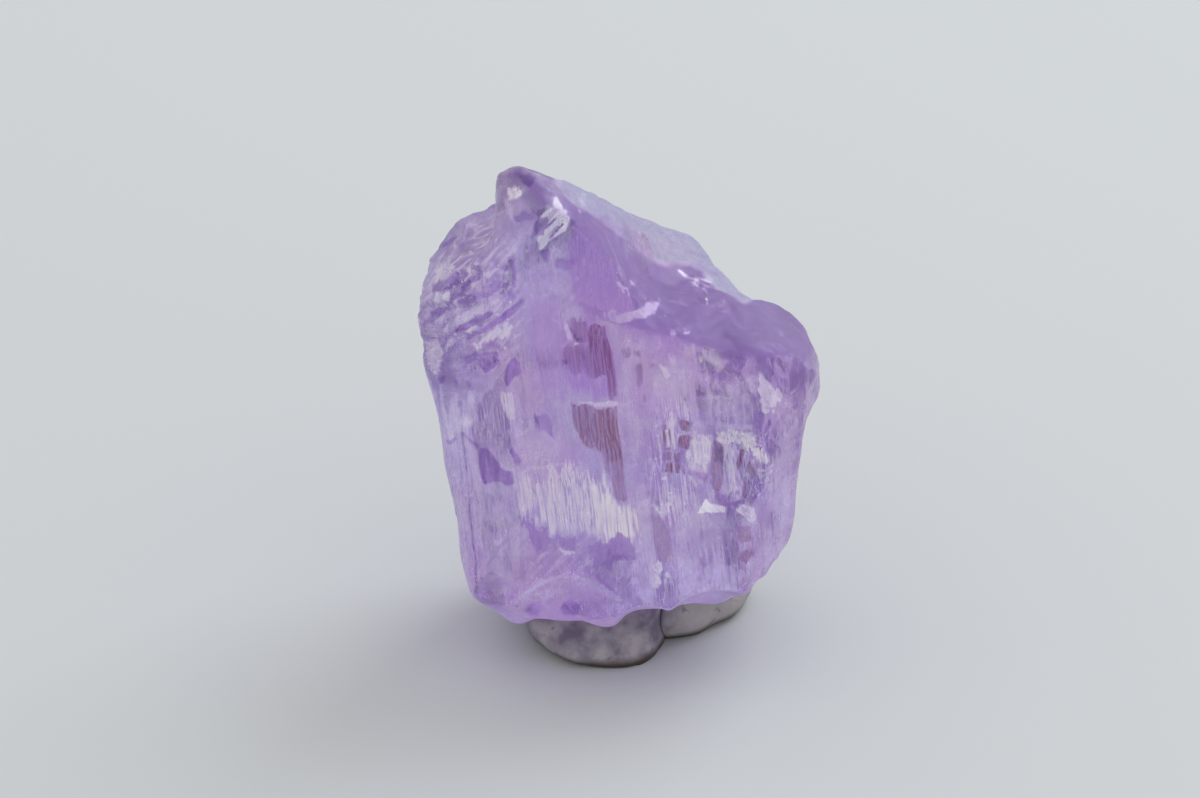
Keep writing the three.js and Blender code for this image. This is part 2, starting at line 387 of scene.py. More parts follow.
# %% Box grid, growth and mesh
def box_grid(cuts, half):
    """Directions to the grid points on a box with three half sizes, and outward quads that join them."""
    nx, ny, nz = cuts
    ax, ay, az = half
    sheets = [(nx, nz, lambda u, v: (u * ax, -ay + 0 * u, v * az)),
              (ny, nz, lambda u, v: (ax + 0 * u, u * ay, v * az)),
              (nx, nz, lambda u, v: (-u * ax, ay + 0 * u, v * az)),
              (ny, nz, lambda u, v: (-ax + 0 * u, -u * ay, v * az)),
              (nx, ny, lambda u, v: (u * ax, v * ay, az + 0 * u)),
              (nx, ny, lambda u, v: (u * ax, -v * ay, -az + 0 * u))]
    points, quads, start = [], [], 0
    for wide, high, place in sheets:
        u, v = np.meshgrid(np.linspace(-1, 1, wide + 1), np.linspace(-1, 1, high + 1), indexing="xy")
        points.append(np.stack(place(u, v), -1).reshape(-1, 3))
        i = np.arange((wide + 1) * (high + 1)).reshape(high + 1, wide + 1) + start
        quads.append(np.stack([i[:-1, :-1], i[:-1, 1:], i[1:, 1:], i[1:, :-1]], -1).reshape(-1, 4))
        start += (wide + 1) * (high + 1)
    points = np.concatenate(points)
    # Points that two sheets share are merged, so that the skin is closed.
    same = np.round(points * 1e6).astype(np.int64)
    _, first, back = np.unique(same, axis=0, return_index=True, return_inverse=True)
    points = points[first]
    return points / np.linalg.norm(points, axis=1, keepdims=True), back.reshape(-1)[np.concatenate(quads)]


STEP_SHARE, LEAST_STEP, HALVINGS = 0.6, 1 / 60, 11
GIVE_UP = 0.05


def grow(field, middle, reach, grid):
    """Steps each point inwards by a share of its field value until inside, then halves the last step."""
    directions, quads = grid
    middle = np.array(middle, float)
    outer = np.full(len(directions), float(reach))
    inner = outer.copy()
    todo = np.arange(len(directions))
    while len(todo):
        value = field(directions[todo] * inner[todo, None] + middle)
        hit = (value < 0) | (inner[todo] < GIVE_UP * reach)
        outside = todo[~hit]
        outer[outside] = inner[outside]
        inner[outside] -= np.maximum(reach * LEAST_STEP, STEP_SHARE * value[~hit])
        todo = outside
    for _ in range(HALVINGS):
        mid = 0.5 * (outer + inner)
        inside = field(directions * mid[:, None] + middle) < 0
        inner = np.where(inside, mid, inner)
        outer = np.where(inside, outer, mid)
    return directions * inner[:, None] + middle, quads


def add_mesh(name, points_mm, quads):
    """A smooth mesh object from points in millimetres."""
    mesh = bpy.data.meshes.new(name)
    mesh.vertices.add(len(points_mm))
    mesh.vertices.foreach_set("co", (points_mm * MM).astype(np.float32).ravel())
    mesh.loops.add(quads.size)
    mesh.loops.foreach_set("vertex_index", quads.astype(np.int32).ravel())
    mesh.polygons.add(len(quads))
    mesh.polygons.foreach_set("loop_start", np.arange(0, quads.size, 4, dtype=np.int32))
    mesh.polygons.foreach_set("use_smooth", np.ones(len(quads), bool))
    mesh.update(calc_edges=True)
    mesh.validate()
    thing = bpy.data.objects.new(name, mesh)
    bpy.context.scene.collection.objects.link(thing)
    return thing


def skin_normals(points, quads):
    """Each point's outward direction: the sum of its quads' crossed diagonals, made one unit long."""
    corners = points[quads]
    n = np.cross(corners[:, 2] - corners[:, 0], corners[:, 3] - corners[:, 1])
    total = np.zeros_like(points)
    for k in range(4):
        np.add.at(total, quads[:, k], n)
    return total / np.linalg.norm(total, axis=1, keepdims=True)


# %% Grow the crystal
GRID_CUTS = ((152, 60, 192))
BOX_HALVES, CRYSTAL_REACH = (9.0, 5.3, 11.4), 15.5
grid = box_grid(GRID_CUTS, BOX_HALVES)
local, crystal_quads = grow(crystal_field, (0, 0, 0), CRYSTAL_REACH, grid)
print("crystal skin:", len(local), "points,", 2 * len(crystal_quads), "triangles")

# %% [markdown]
# ## Etching the skin
# Hot mineral water has eaten this stone. On the front it left sunken panes with square steps, a ladder of
# small cells, a bowl with fingers, a scalloped lip at the foot, and torn cleavage where the light flashes
# white. Each mark is an outline in millimetres: across the face to the right, and up along the crystal. The
# mesh could be cut along it, but a ramp that crosses a half on the outline leaves the skin whole.

# %% Outlines and lines on a face
FAR = 99.0


def from_side(t, z, start, end):
    """The distance from each point to the nearest point of a straight side."""
    (at, az), (bt, bz) = start, end
    k = np.clip(((t - at) * (bt - at) + (z - az) * (bz - az)) / ((bt - at) ** 2 + (bz - az) ** 2), 0, 1)
    return np.hypot(t - at - k * (bt - at), z - az - k * (bz - az))


def within(t, z, corners, soft, fray=0.0):
    """A ramp that falls from 1 inside to 0 outside over soft mm, with edges that fray along the fibres.

    A point is inside if a line from it to the right crosses the outline an odd number of times.
    """
    a = np.array(corners, float)
    b = np.roll(a, -1, axis=0)
    ragged = z + fray * (2 * laths(t, z, 0.3, 1.6, 51) - 1)
    ramp = np.zeros(len(t))
    near = np.nonzero((t > a[:, 0].min() - soft) & (t < a[:, 0].max() + soft)
                      & (ragged > a[:, 1].min() - soft) & (ragged < a[:, 1].max() + soft))[0]
    u, v = t[near], ragged[near]
    gap, odd = np.full(len(near), FAR), np.zeros(len(near), bool)
    for (at, az), (bt, bz) in zip(a, b):
        gap = np.minimum(gap, from_side(u, v, (at, az), (bt, bz)))
        odd ^= ((az > v) != (bz > v)) & (u < at + (bt - at) * (v - az) / (bz - az + 1e-9))
    ramp[near] = np.clip(0.5 + np.where(odd, gap, -gap) / soft, 0, 1)
    return ramp


def near_line(t, z, points, width):
    """1 on the bent line through the points, falling smoothly to 0 at width mm from it."""
    gap = np.full(len(t), FAR)
    for start, end in zip(points[:-1], points[1:]):
        gap = np.minimum(gap, from_side(t, z, start, end))
    return 1 - rise(0.0, width, gap)


def mark_layer(t, z, seen, marks):
    """The highest ramp of a kind of mark, and the marks' strengths averaged by their ramps cubed."""
    ramps = np.stack([within(t, z, *m[:3]) for m in marks]) * seen
    share = ramps ** 3 + 1e-9
    return ramps.max(0), (share * np.array([m[3] for m in marks])[:, None]).sum(0) / share.sum(0)


# %% [markdown]
# ## Sunken windows
# Where the stone dissolved in steps, flat windows sank into the front. Their deep mauve, rosier low down, is
# painted shade: it stands for the dark that the clear stone shows through them. A column of panes runs down
# the middle, a ladder of small cells stands right of it, and grooves wander beside them. In every list a mark
# is its corners, the width of its ramp in millimetres, how far its edge frays, and its strength.

# %% Panes, cells and grooves
PANES = [
    ([(-0.4, 5.0), (0.3, 5.0), (0.3, 4.5), (0.5, 3.8), (0.5, 3.1), (0.5, 2.0), (0.2, 1.9), (0.1, 2.7),
      (-0.2, 2.6), (-0.4, 2.5), (-0.4, 3.3), (-0.5, 4.2)], 0.2, 0.08, 1.1),
    ([(0.1, 2.6), (0.4, 2.9), (0.5, 2.2), (0.5, 1.6), (0.2, 1.5), (0.1, 1.9)], 0.2, 0.2, 0.8),
    ([(-1.7, 3.9), (-1.4, 4.2), (-0.8, 4.2), (-0.5, 3.9), (-0.4, 3.2), (-0.4, 2.4), (-0.7, 2.5), (-0.9, 2.9),
      (-1.3, 2.9), (-1.7, 3.2)], 0.3, 0.2, 0.65),
    ([(-1.2, 5.5), (-0.8, 5.5), (-0.5, 5.0), (-0.5, 4.2), (-1.0, 4.3), (-1.2, 4.8)], 0.3, 0.3, 0.7),
    ([(-1.6, 1.5), (-0.9, 1.3), (-0.3, 1.2), (-0.5, -1.0), (-0.7, -0.6), (-1.2, -0.6), (-1.5, 0.1),
      (-1.6, 0.7)], 0.35, 0.15, 0.9),
    ([(-0.3, 1.2), (0.4, 1.1), (0.4, -0.5), (0.4, -1.6), (-0.2, -1.6), (-0.4, -1.2),
      (-0.5, -1.0)], 0.35, 0.15, 1),
    ([(-0.2, -1.5), (0.4, -1.5), (0.4, -3.2), (-0.1, -3.2), (-0.2, -2.3)], 0.35, 0.2, 0.6),
    ([(-0.5, -0.97), (-0.26, -1.14), (-0.23, -2.37), (-0.45, -2.27)], 0.3, 0.3, 0.6),
]
CELLS = [
    ([(3.17, 0.36), (3.61, 0.18), (3.59, -0.33), (3.17, -0.18)], 0.2, 0, 0.9),
    ([(3.09, -0.39), (3.56, -0.53), (3.4, -1.23), (3.02, -1.02)], 0.2, 0, 1),
    ([(2.33, -1.1), (2.69, -1.09), (2.59, -1.52), (2.28, -1.5)], 0.16, 0, 0.8),
    ([(2.79, -1.17), (3.09, -1.27), (3.01, -1.62), (2.72, -1.55)], 0.16, 0, 0.8),
    ([(2.36, -1.63), (2.68, -1.64), (2.57, -2.12), (2.26, -2.07)], 0.16, 0, 0.95),
    ([(2.78, -1.65), (3.04, -1.75), (2.89, -2.18), (2.72, -2.12)], 0.16, 0, 0.95),
    ([(2.41, 0.19), (2.52, 0.18), (2.41, -0.96), (2.3, -0.95)], 0.14, 0, 0.95),
    ([(2.64, -0.01), (2.73, -0.02), (2.66, -0.99), (2.56, -0.98)], 0.14, 0, 0.95),
    ([(5.2, -4.8), (5.8, -5.0), (5.8, -5.7), (5.7, -5.8), (5.2, -5.6)], 0.2, 0, 0.5),
    ([(5.2, -6.1), (5.7, -6.1), (5.8, -6.4), (5.5, -6.7), (5.2, -6.5)], 0.2, 0, 0.55),
]
GROOVES = [
    ([(4.5, -0.9), (4.7, -0.9), (5.0, -1.4), (4.8, -2.5), (4.7, -3.1), (4.5, -3.3), (4.3, -3.1),
      (4.3, -2.2)], 0.25, 0.1, 0.65),
    ([(5.73, -1.44), (5.88, -1.54), (5.74, -2.02), (5.49, -2.46), (5.42, -2.19)], 0.12, 0.05, 0.9),
    ([(6.0, -1.9), (6.1, -2.1), (6.3, -2.5), (6.1, -2.8), (5.8, -2.5)], 0.2, 0.2, 0.45),
    ([(5.7, -2.76), (5.9, -3.19), (5.76, -3.59), (5.55, -3.46)], 0.3, 0.3, 0.5),
    ([(1.5, -4.0), (2.0, -4.7), (2.2, -5.3), (2.1, -6.2), (1.5, -6.1), (1.4, -5.2)], 0.4, 0.4, 0.4),
    ([(0.9, 3.9), (1.3, 3.9), (1.4, 3.6), (1.3, 3.4), (1.0, 3.5)], 0.2, 0.15, 0.45),
    ([(1.47, 3.88), (1.82, 3.75), (1.79, 3.48), (1.57, 3.55)], 0.18, 0.1, 0.5),
    ([(1.49, 3.23), (1.8, 3.19), (1.78, 2.56), (1.62, 2.01), (1.47, 2.07), (1.47, 2.65)], 0.2, 0.15, 0.6),
    ([(2.07, 3.22), (2.37, 3.09), (2.31, 2.94), (2.1, 3.02)], 0.18, 0.1, 0.5),
    ([(1.68, 1.71), (1.81, 1.69), (1.78, 1.27), (1.64, 1.34)], 0.18, 0.1, 0.45),
]
print(len(PANES), "panes", len(CELLS), "cells", len(GROOVES), "grooves")

# %% [markdown]
# ## Fingers and cream
# Between the windows the stone stands as pale fingers, and a cream curtain of torn fibres hangs across the
# middle. Both are raised or sunk a little and lose their clearness, so they share one look. The cream is
# partly the fibres' own colour and partly painted light, where the bright floor shows through the clear
# stone.

# %% Fingers and cream patches
FINGERS = [
    ([(3.6, -0.4), (4.5, -0.5), (4.4, -1.2), (4.3, -1.9), (4.1, -2.5), (3.4, -2.3), (3.3, -1.8), (3.2, -1.3),
      (3.5, -0.9)], 0.2, 0.15, 0.85),
    ([(3.3, -1.3), (3.5, -1.6), (3.8, -2.0), (4.2, -2.0), (4.0, -2.8), (3.5, -3.3), (3.3, -2.9),
      (3.2, -2.0)], 0.35, 0.5, 0.5),
    ([(5.0, -1.2), (5.4, -1.2), (5.5, -1.9), (5.4, -2.4), (5.4, -3.2), (5.2, -3.5), (5.0, -3.4), (5.0, -2.5),
      (4.9, -1.9)], 0.2, 0.15, 0.68),
    ([(4.7, -0.7), (5.3, -0.4), (5.7, -0.4), (6.4, -0.6), (6.6, -1.2), (6.8, -1.8), (7.1, -2.4), (6.7, -2.4),
      (6.3, -1.9), (5.9, -1.4), (5.5, -1.1), (5.1, -1.3), (4.7, -1.2)], 0.2, 0.15, 0.92),
    ([(6.4, -2.4), (7.1, -2.4), (7.1, -2.8), (6.8, -3.3), (6.3, -3.1)], 0.3, 0.5, 0.5),
    ([(5.9, -1.9), (6.3, -2.2), (6.1, -2.7), (5.8, -2.8), (5.7, -2.3)], 0.3, 0.2, 0.5),
]
CREAM = [
    ([(-4.6, -1.8), (-3.3, -1.5), (-2.2, -1.4), (-1.1, -1.7), (-0.5, -2.1), (-0.3, -3.2), (0.7, -3.3),
      (0.7, -4.7), (0.4, -5.3), (-0.2, -5.1), (-0.9, -5.1), (-1.9, -4.8), (-2.8, -4.4), (-3.6, -3.9),
      (-4.4, -3.4), (-4.7, -2.6)], 0.8, 0.5, 0.75),
    ([(-1.1, -2.5), (-0.5, -2.5), (-0.1, -3.3), (0.6, -3.5), (0.9, -4.0), (0.8, -4.9), (0.0, -5.1),
      (-1.1, -4.8), (-1.4, -3.8)], 0.4, 0.3, 1.15),
    ([(-3.4, -2.0), (-1.8, -1.9), (-1.4, -3.1), (-1.6, -4.4), (-2.7, -4.1), (-3.5, -3.5)], 0.5, 0.4, 0.8),
    ([(2.6, 0.9), (3.1, 0.8), (2.9, -0.6), (3.0, -1.1), (2.4, -1.0)], 0.25, 0.2, 0.75),
    ([(3.2, 1.5), (3.6, 1.5), (3.8, 0.9), (3.7, 0.3), (3.2, 0.5)], 0.3, 0.1, 0.65),
    ([(1.9, -2.8), (2.5, -2.5), (3.3, -3.2), (3.7, -3.5), (3.8, -4.5), (3.5, -5.0), (2.8, -4.8), (1.9, -4.6),
      (1.7, -3.6)], 0.5, 0.3, 0.5),
    ([(7.7, 0.0), (8.2, -0.4), (8.4, -1.1), (8.2, -1.6), (7.9, -1.7), (7.4, -1.4), (7.3, -0.8),
      (7.7, -0.6)], 0.5, 0.2, 0.35),
    ([(5.97, 1.98), (6.42, 1.98), (6.44, 1.15), (5.99, 1.16)], 0.3, 0.1, 0.35),
    ([(3.01, -4.35), (3.83, -4.36), (4.09, -4.88), (3.09, -5.01)], 0.3, 0.2, 0.4),
    ([(-3.6, 11.2), (-3.1, 11.3), (-2.7, 11.3), (-2.9, 11.0), (-3.1, 10.8), (-3.6, 10.7)], 0.25, 0, 1),
    ([(-6.29, 8.5), (-5.9, 8.64), (-5.57, 8.62), (-5.74, 8.5), (-6.15, 8.43)], 0.25, 0, 0.65),
    ([(-7.7, 7.0), (-7.3, 7.3), (-6.7, 7.7), (-6.2, 7.6), (-6.9, 7.1), (-7.6, 6.5)], 0.3, 0.1, 0.8),
    ([(-6.05, 7.75), (-5.59, 7.85), (-5.33, 7.72), (-5.77, 7.44)], 0.2, 0, 0.6),
    ([(-5.81, 7.14), (-5.36, 7.36), (-5.21, 7.22), (-5.6, 6.84)], 0.2, 0, 0.7),
    ([(-7.26, 6.04), (-6.93, 5.67), (-6.89, 5.0), (-7.24, 4.96)], 0.3, 0.2, 0.45),
    ([(-8.3, 4.0), (-7.7, 4.3), (-7.4, 3.7), (-7.6, 2.9), (-7.8, 2.5), (-8.2, 3.1)], 0.2, 0.1, 0.7),
    ([(-4.8, 2.3), (-4.2, 2.3), (-4.1, 1.6), (-4.2, 0.8), (-4.5, 0.9), (-4.8, 1.7)], 0.2, 0.1, 0.7),
    ([(0.2, 5.5), (0.7, 5.6), (1.3, 5.2), (1.1, 5.0), (0.7, 5.1), (0.4, 5.3)], 0.2, 0, 0.5),
    ([(-0.46, 10.2), (-0.34, 10.09), (-0.25, 9.94), (-0.37, 10.03)], 0.15, 0, 0.8),
    ([(4.2, 3.1), (4.5, 3.4), (4.9, 3.4), (5.3, 3.1), (5.4, 2.5), (5.0, 2.3), (4.8, 3.0),
      (4.3, 2.9)], 0.3, 0.15, 0.6),
    ([(3.8, 2.4), (5.8, 2.2), (5.8, 1.4), (5.4, 0.6), (4.1, 0.6), (3.8, 1.3)], 0.8, 0.3, 0.35),
    ([(5.97, 1.98), (6.55, 1.97), (6.59, 1.35), (6.06, 1.37)], 0.25, 0.1, 0.4),
    ([(4.6, 3.5), (5.0, 3.5), (5.4, 3.1), (5.4, 2.4), (5.1, 2.6), (4.8, 3.1)], 0.25, 0.1, 0.4),
    ([(3.8, 3.7), (4.2, 3.7), (4.2, 3.4), (3.9, 3.2), (3.6, 3.3)], 0.2, 0.1, 0.4),
]
print(len(FINGERS), "fingers", len(CREAM), "cream patches")

# %% [markdown]
# ## Flashes
# Small cleavage faces throw the light back white: on the horn, on the ledges of the shoulder and round the
# bowl. The white is a painted highlight in the skin's colour. They are short and sharp, so their ramps are
# narrow.

# %% Flashes
FLASHES = [
    ([(3.5, -4.1), (4.0, -3.4), (4.1, -3.7), (4.7, -4.2)], 0.15, 0, 1),
    ([(4.23, -3.73), (4.82, -3.98), (4.78, -4.24), (4.14, -4.17)], 0.2, 0, 0.8),
    ([(5.2, -4.0), (5.7, -3.9), (6.0, -4.1), (6.1, -4.8), (6.0, -5.0), (5.7, -4.7), (5.6, -4.4),
      (5.3, -4.2)], 0.25, 0.1, 0.75),
    ([(-1.4, 10.9), (-1.1, 10.7), (-0.9, 10.4), (-0.7, 10.0), (-0.9, 9.6), (-1.6, 9.2), (-2.1, 8.9),
      (-2.3, 9.1), (-2.0, 9.7), (-2.2, 10.0), (-1.8, 10.4), (-1.4, 10.5)], 0.2, 0.15, 0.75),
    ([(6.9, 2.0), (7.1, 2.0), (7.3, 1.4), (7.9, 0.6), (7.7, 0.2), (7.3, 0.4), (6.8, 0.6), (6.9, 1.1),
      (6.8, 1.5)], 0.3, 0.35, 0.68),
    ([(-7.7, 6.1), (-7.2, 6.5), (-6.6, 6.7), (-6.7, 6.3), (-7.5, 5.9)], 0.25, 0.1, 0.75),
    ([(-6.1, 5.2), (-5.6, 5.4), (-5.5, 5.2), (-6.0, 4.6), (-6.1, 4.8)], 0.25, 0.1, 0.75),
    ([(-5.2, 4.7), (-4.7, 5.2), (-3.9, 5.4), (-3.9, 5.1), (-4.5, 4.7), (-5.0, 4.6)], 0.3, 0.2, 0.7),
    ([(-6.73, 8.12), (-6.42, 8.22), (-6.39, 8.08), (-6.71, 7.92)], 0.2, 0.1, 0.5),
    ([(-3.42, 8.72), (-3.19, 8.76), (-3.18, 8.41), (-3.36, 8.42)], 0.2, 0.1, 0.55),
    ([(-1.52, 5.94), (-1.39, 5.39), (-1.17, 4.35), (-1.41, 4.42), (-1.56, 5.13)], 0.2, 0.1, 0.6),
    ([(-1.51, 4.33), (-0.79, 4.33), (-1.39, 4.02)], 0.18, 0, 0.7),
    ([(-1.31, 1.65), (-0.48, 1.45), (0.51, 1.43), (0.48, 1.19), (-0.51, 1.22), (-1.3, 1.4)], 0.18, 0, 0.55),
    ([(1.16, 5.53), (2.58, 5.13), (2.46, 5.02), (1.39, 5.08), (1.28, 5.35)], 0.2, 0, 0.6),
    ([(1.01, 7.04), (1.5, 6.59), (1.7, 6.18), (1.37, 6.32), (1.07, 6.77)], 0.25, 0.2, 0.5),
    ([(3.13, 5.44), (3.26, 5.43), (3.69, 5.04), (4.07, 4.89), (4.44, 4.69), (4.62, 4.56), (4.35, 4.78),
      (4.01, 4.88), (3.44, 5.15)], 0.18, 0, 0.9),
    ([(3.15, 4.42), (3.41, 4.36), (3.41, 4.17), (3.19, 4.21)], 0.2, 0.1, 0.5),
    ([(3.71, 4.16), (3.99, 4.19), (4.0, 4.08), (3.75, 4.04)], 0.2, 0.1, 0.5),
    ([(2.53, 3.08), (2.85, 2.95), (3.0, 2.42), (2.79, 2.35)], 0.25, 0.1, 0.65),
    ([(-7.6, 0.8), (-6.6, 1.2), (-6.0, 0.6), (-7.1, 0.2), (-7.7, 0.1)], 0.4, 0.3, 0.5),
    ([(-6.28, -1.56), (-6.07, -1.54), (-6.06, -2.65), (-6.12, -3.62), (-6.27, -3.52)], 0.2, 0.1, 0.45),
    ([(-2.98, -5.19), (-2.19, -5.52), (-2.1, -5.72), (-2.8, -5.53)], 0.2, 0.3, 0.6),
    ([(1.26, -6.48), (1.49, -6.41), (1.55, -7.09), (1.46, -7.54), (1.25, -7.42)], 0.25, 0.3, 0.8),
    ([(-1.22, 10.71), (-1.04, 10.46), (-1.13, 10.27), (-1.5, 10.12), (-1.8, 9.94),
      (-1.66, 10.3)], 0.25, 0.2, 0.7),
    ([(-2.28, 9.17), (-2.11, 9.11), (-2.16, 8.64), (-2.29, 8.7)], 0.2, 0.1, 0.8),
    ([(0.7, 5.3), (1.4, 5.4), (1.9, 5.5), (2.6, 5.1), (2.5, 5.0), (2.0, 5.1), (1.3, 5.0),
      (0.9, 5.0)], 0.2, 0, 0.55),
    ([(1.11, -6.1), (1.3, -6.01), (1.31, -6.81), (1.11, -7.41), (1.01, -7.03)], 0.15, 0.2, 0.6),
    ([(4.69, -0.71), (5.01, -0.53), (5.03, -1.02), (4.74, -1.28)], 0.15, 0.1, 0.6),
    ([(5.9, -0.5), (6.3, -0.6), (6.5, -1.2), (6.2, -1.3), (6.0, -0.9)], 0.2, 0.2, 0.7),
    ([(6.46, -1.37), (6.7, -1.88), (6.96, -2.3), (6.74, -2.38), (6.4, -1.92)], 0.2, 0.15, 0.75),
    ([(-6.6, 5.46), (-5.9, 5.89), (-5.18, 6.19), (-4.39, 6.53), (-4.37, 6.35), (-5.16, 5.89), (-5.94, 5.48),
      (-6.57, 5.21)], 0.2, 0.1, 0.6),
    ([(-5.9, 4.26), (-5.01, 4.9), (-4.32, 5.13), (-3.83, 5.41), (-3.76, 5.22), (-4.31, 4.81), (-5.07, 4.48),
      (-5.82, 4.02)], 0.2, 0.1, 0.7),
    ([(-4.8, 7.8), (-4.2, 8.0), (-3.6, 7.9), (-3.8, 7.7), (-4.3, 7.7), (-4.8, 7.5)], 0.2, 0.1, 0.6),
    ([(1.37, -6.25), (1.65, -6.17), (1.68, -6.65), (1.4, -6.87)], 0.15, 0.1, 0.8),
    ([(1.71, -6.79), (1.94, -6.73), (1.95, -7.1), (1.71, -7.26)], 0.15, 0.1, 0.7),
    ([(6.33, -2.54), (7.08, -2.4), (7.12, -2.52), (6.41, -2.68)], 0.12, 0.05, 0.6),
    ([(6.3, -2.81), (7.01, -2.67), (7.04, -2.79), (6.38, -2.95)], 0.12, 0.05, 0.6),
    ([(6.32, -3.08), (6.84, -2.95), (6.87, -3.08), (6.4, -3.23)], 0.12, 0.05, 0.5),
    ([(-1.71, 11.27), (-1.6, 11.13), (-1.15, 10.75), (-1.18, 10.77), (-1.5, 11.07)], 0.15, 0.1, 0.45),
]
print(len(FLASHES), "flashes")

# %% [markdown]
# ## Haze
# Under the skin, fine cracks scatter light, and the stone looks milky there. These patches have wide ramps,
# so that they melt into each other.

# %% Haze
HAZE = [
    ([(-7.9, 1.4), (-5.9, 2.1), (-5.9, 0.6), (-6.8, 0.2), (-7.6, 0.0)], 0.6, 0.4, 0.75),
    ([(-8.1, -0.5), (-6.4, 0.1), (-6.2, -1.3), (-6.6, -3.2), (-7.4, -3.5), (-7.9, -1.7)], 0.7, 0.4, 0.4),
    ([(-4.0, 0.7), (-2.3, 0.3), (-2.1, -1.2), (-3.3, -1.4), (-4.4, -1.6), (-4.6, -0.5)], 0.6, 0.4, 0.35),
    ([(2.6, 3.1), (3.3, 3.1), (3.4, 2.6), (3.3, 1.3), (2.4, 0.9), (1.8, 0.8), (2.1, 1.8)], 0.5, 0.3, 0.55),
    ([(0.8, 3.4), (1.4, 3.2), (1.5, 1.4), (1.5, -0.4), (0.9, -2.3), (0.7, -0.9), (0.7, 1.5)], 0.5, 0.4, 0.35),
    ([(3.6, 0.3), (6.5, -0.2), (6.4, -0.5), (5.3, -0.4), (4.6, -0.4), (3.7, -0.2)], 0.3, 0, 0.6),
    ([(4.5, 3.4), (5.1, 3.4), (5.4, 2.7), (5.3, 2.4), (4.9, 2.7), (4.4, 3.0)], 0.3, 0, 0.65),
    ([(3.7, 3.7), (4.2, 3.7), (4.3, 3.4), (3.9, 3.2), (3.6, 3.3)], 0.3, 0, 0.35),
    ([(8.99, 1.72), (9.19, 1.14), (9.17, -0.16), (9.03, -0.71), (8.86, -0.86), (8.94, 0.33),
      (8.9, 1.29)], 0.3, 0.2, 0.1),
    ([(-8.6, 6.3), (-7.6, 7.4), (-7.6, 7.1), (-7.6, 6.4), (-7.8, 4.7), (-8.1, 4.7)], 0.4, 0.2, 0.45),
    ([(-6.8, 6.7), (-4.2, 7.3), (-4.1, 6.1), (-5.9, 5.1), (-6.9, 5.0)], 0.5, 0.2, 0.4),
    ([(-3.8, 10.6), (-2.9, 10.8), (-2.5, 10.4), (-3.3, 10.3), (-3.6, 10.1)], 0.3, 0.1, 0.4),
    ([(-5.8, -6.3), (-5.3, -6.5), (-5.3, -7.1), (-5.8, -7.5), (-6.0, -6.9)], 0.5, 0.1, 0.4),
    ([(0.8, -3.5), (1.5, -3.5), (1.4, -6.1), (1.1, -8.3), (0.3, -7.9)], 0.5, 0.4, 0.6),
    ([(2.3, -6.2), (4.9, -6.7), (5.5, -7.4), (4.8, -8.9), (3.0, -8.6), (2.1, -8.3)], 0.7, 0.3, 0.7),
    ([(6.5, -3.0), (7.9, -3.3), (7.3, -6.7), (6.3, -7.6), (5.9, -6.8), (6.6, -5.1)], 0.7, 0.3, 0.5),
    ([(-5.4, -7.9), (-4.8, -7.2), (-3.9, -6.7), (-3.1, -6.5), (-2.3, -6.6), (-1.6, -6.8), (-1.0, -7.2),
      (-0.4, -7.7), (-1.0, -7.4), (-1.6, -7.0), (-2.3, -6.8), (-3.2, -6.7), (-4.0, -7.0),
      (-4.7, -7.5)], 0.15, 0, 0.75),
    ([(2.4, -4.69), (3.03, -4.74), (2.82, -6.66), (2.27, -6.62)], 0.4, 0.3, 0.55),
    ([(0.34, -5.02), (1.37, -5.01), (1.15, -7.08), (0.19, -7.45)], 0.4, 0.3, 0.6),
    ([(-6.4, -0.4), (-4.1, 0.0), (-4.5, -5.7), (-6.2, -6.3), (-7.0, -4.7)], 0.8, 0.3, 0.5),
    ([(-4.4, -8.2), (-4.0, -7.4), (-3.4, -7.2), (-3.2, -7.4), (-3.7, -7.7), (-4.1, -8.4)], 0.2, 0, 0.5),
    ([(-1.4, 10.8), (-0.8, 10.4), (-0.6, 10.1), (-0.9, 9.8), (-1.5, 10.0)], 0.4, 0.2, 0.35),
    ([(-4.41, -1.61), (-3.86, -1.28), (-3.09, -1.27), (-2.15, -1.3), (-2.16, -1.43), (-3.11, -1.45),
      (-3.88, -1.47), (-4.34, -1.8)], 0.12, 0, 0.8),
    ([(2.2, 2.7), (2.9, 2.9), (3.9, 2.5), (3.7, 1.2), (3.1, 0.7), (2.2, 1.1)], 0.5, 0.3, 0.45),
    ([(-8.1, 5.9), (-6.7, 6.4), (-5.8, 5.8), (-6.0, 4.2), (-7.5, 3.8), (-8.2, 3.9)], 0.6, 0.3, 0.4),
    ([(-6.1, 1.3), (-4.8, 1.5), (-4.4, 0.7), (-4.5, -0.5), (-5.9, -0.3), (-6.3, 0.3)], 0.6, 0.3, 0.35),
    ([(-3.3, -6.5), (-1.9, -6.6), (-0.9, -7.3), (-1.0, -7.7), (-2.4, -7.5), (-3.6, -7.4)], 0.3, 0.1, 0.35),
    ([(-5.3, -7.8), (-4.5, -7.3), (-3.5, -7.1), (-2.8, -7.2), (-2.8, -7.4), (-3.6, -7.3), (-4.5, -7.5),
      (-5.2, -8.0)], 0.15, 0.05, 0.6),
    ([(-5.9, -6.1), (-5.3, -5.9), (-5.1, -6.6), (-5.4, -7.4), (-6.0, -7.3)], 0.4, 0.2, 0.5),
    ([(-3.81, 10.82), (-3.57, 10.79), (-3.38, 10.34), (-3.21, 9.87), (-3.4, 9.84),
      (-3.68, 10.36)], 0.15, 0.05, 0.6),
    ([(3.1, -4.09), (4.6, -4.28), (4.44, -5.0), (3.2, -4.91)], 0.4, 0.3, 0.45),
    ([(4.3, 1.8), (5.4, 1.9), (6.5, 1.5), (6.8, 0.7), (6.3, 0.0), (5.0, -0.2), (4.1, 0.2),
      (3.8, 1.0)], 1, 0.3, 0.42),
    ([(1.0, 4.3), (2.7, 4.2), (3.0, 3.6), (1.7, 3.5), (1.0, 3.7)], 0.4, 0.2, 0.3),
]
print(len(HAZE), "patches of haze")

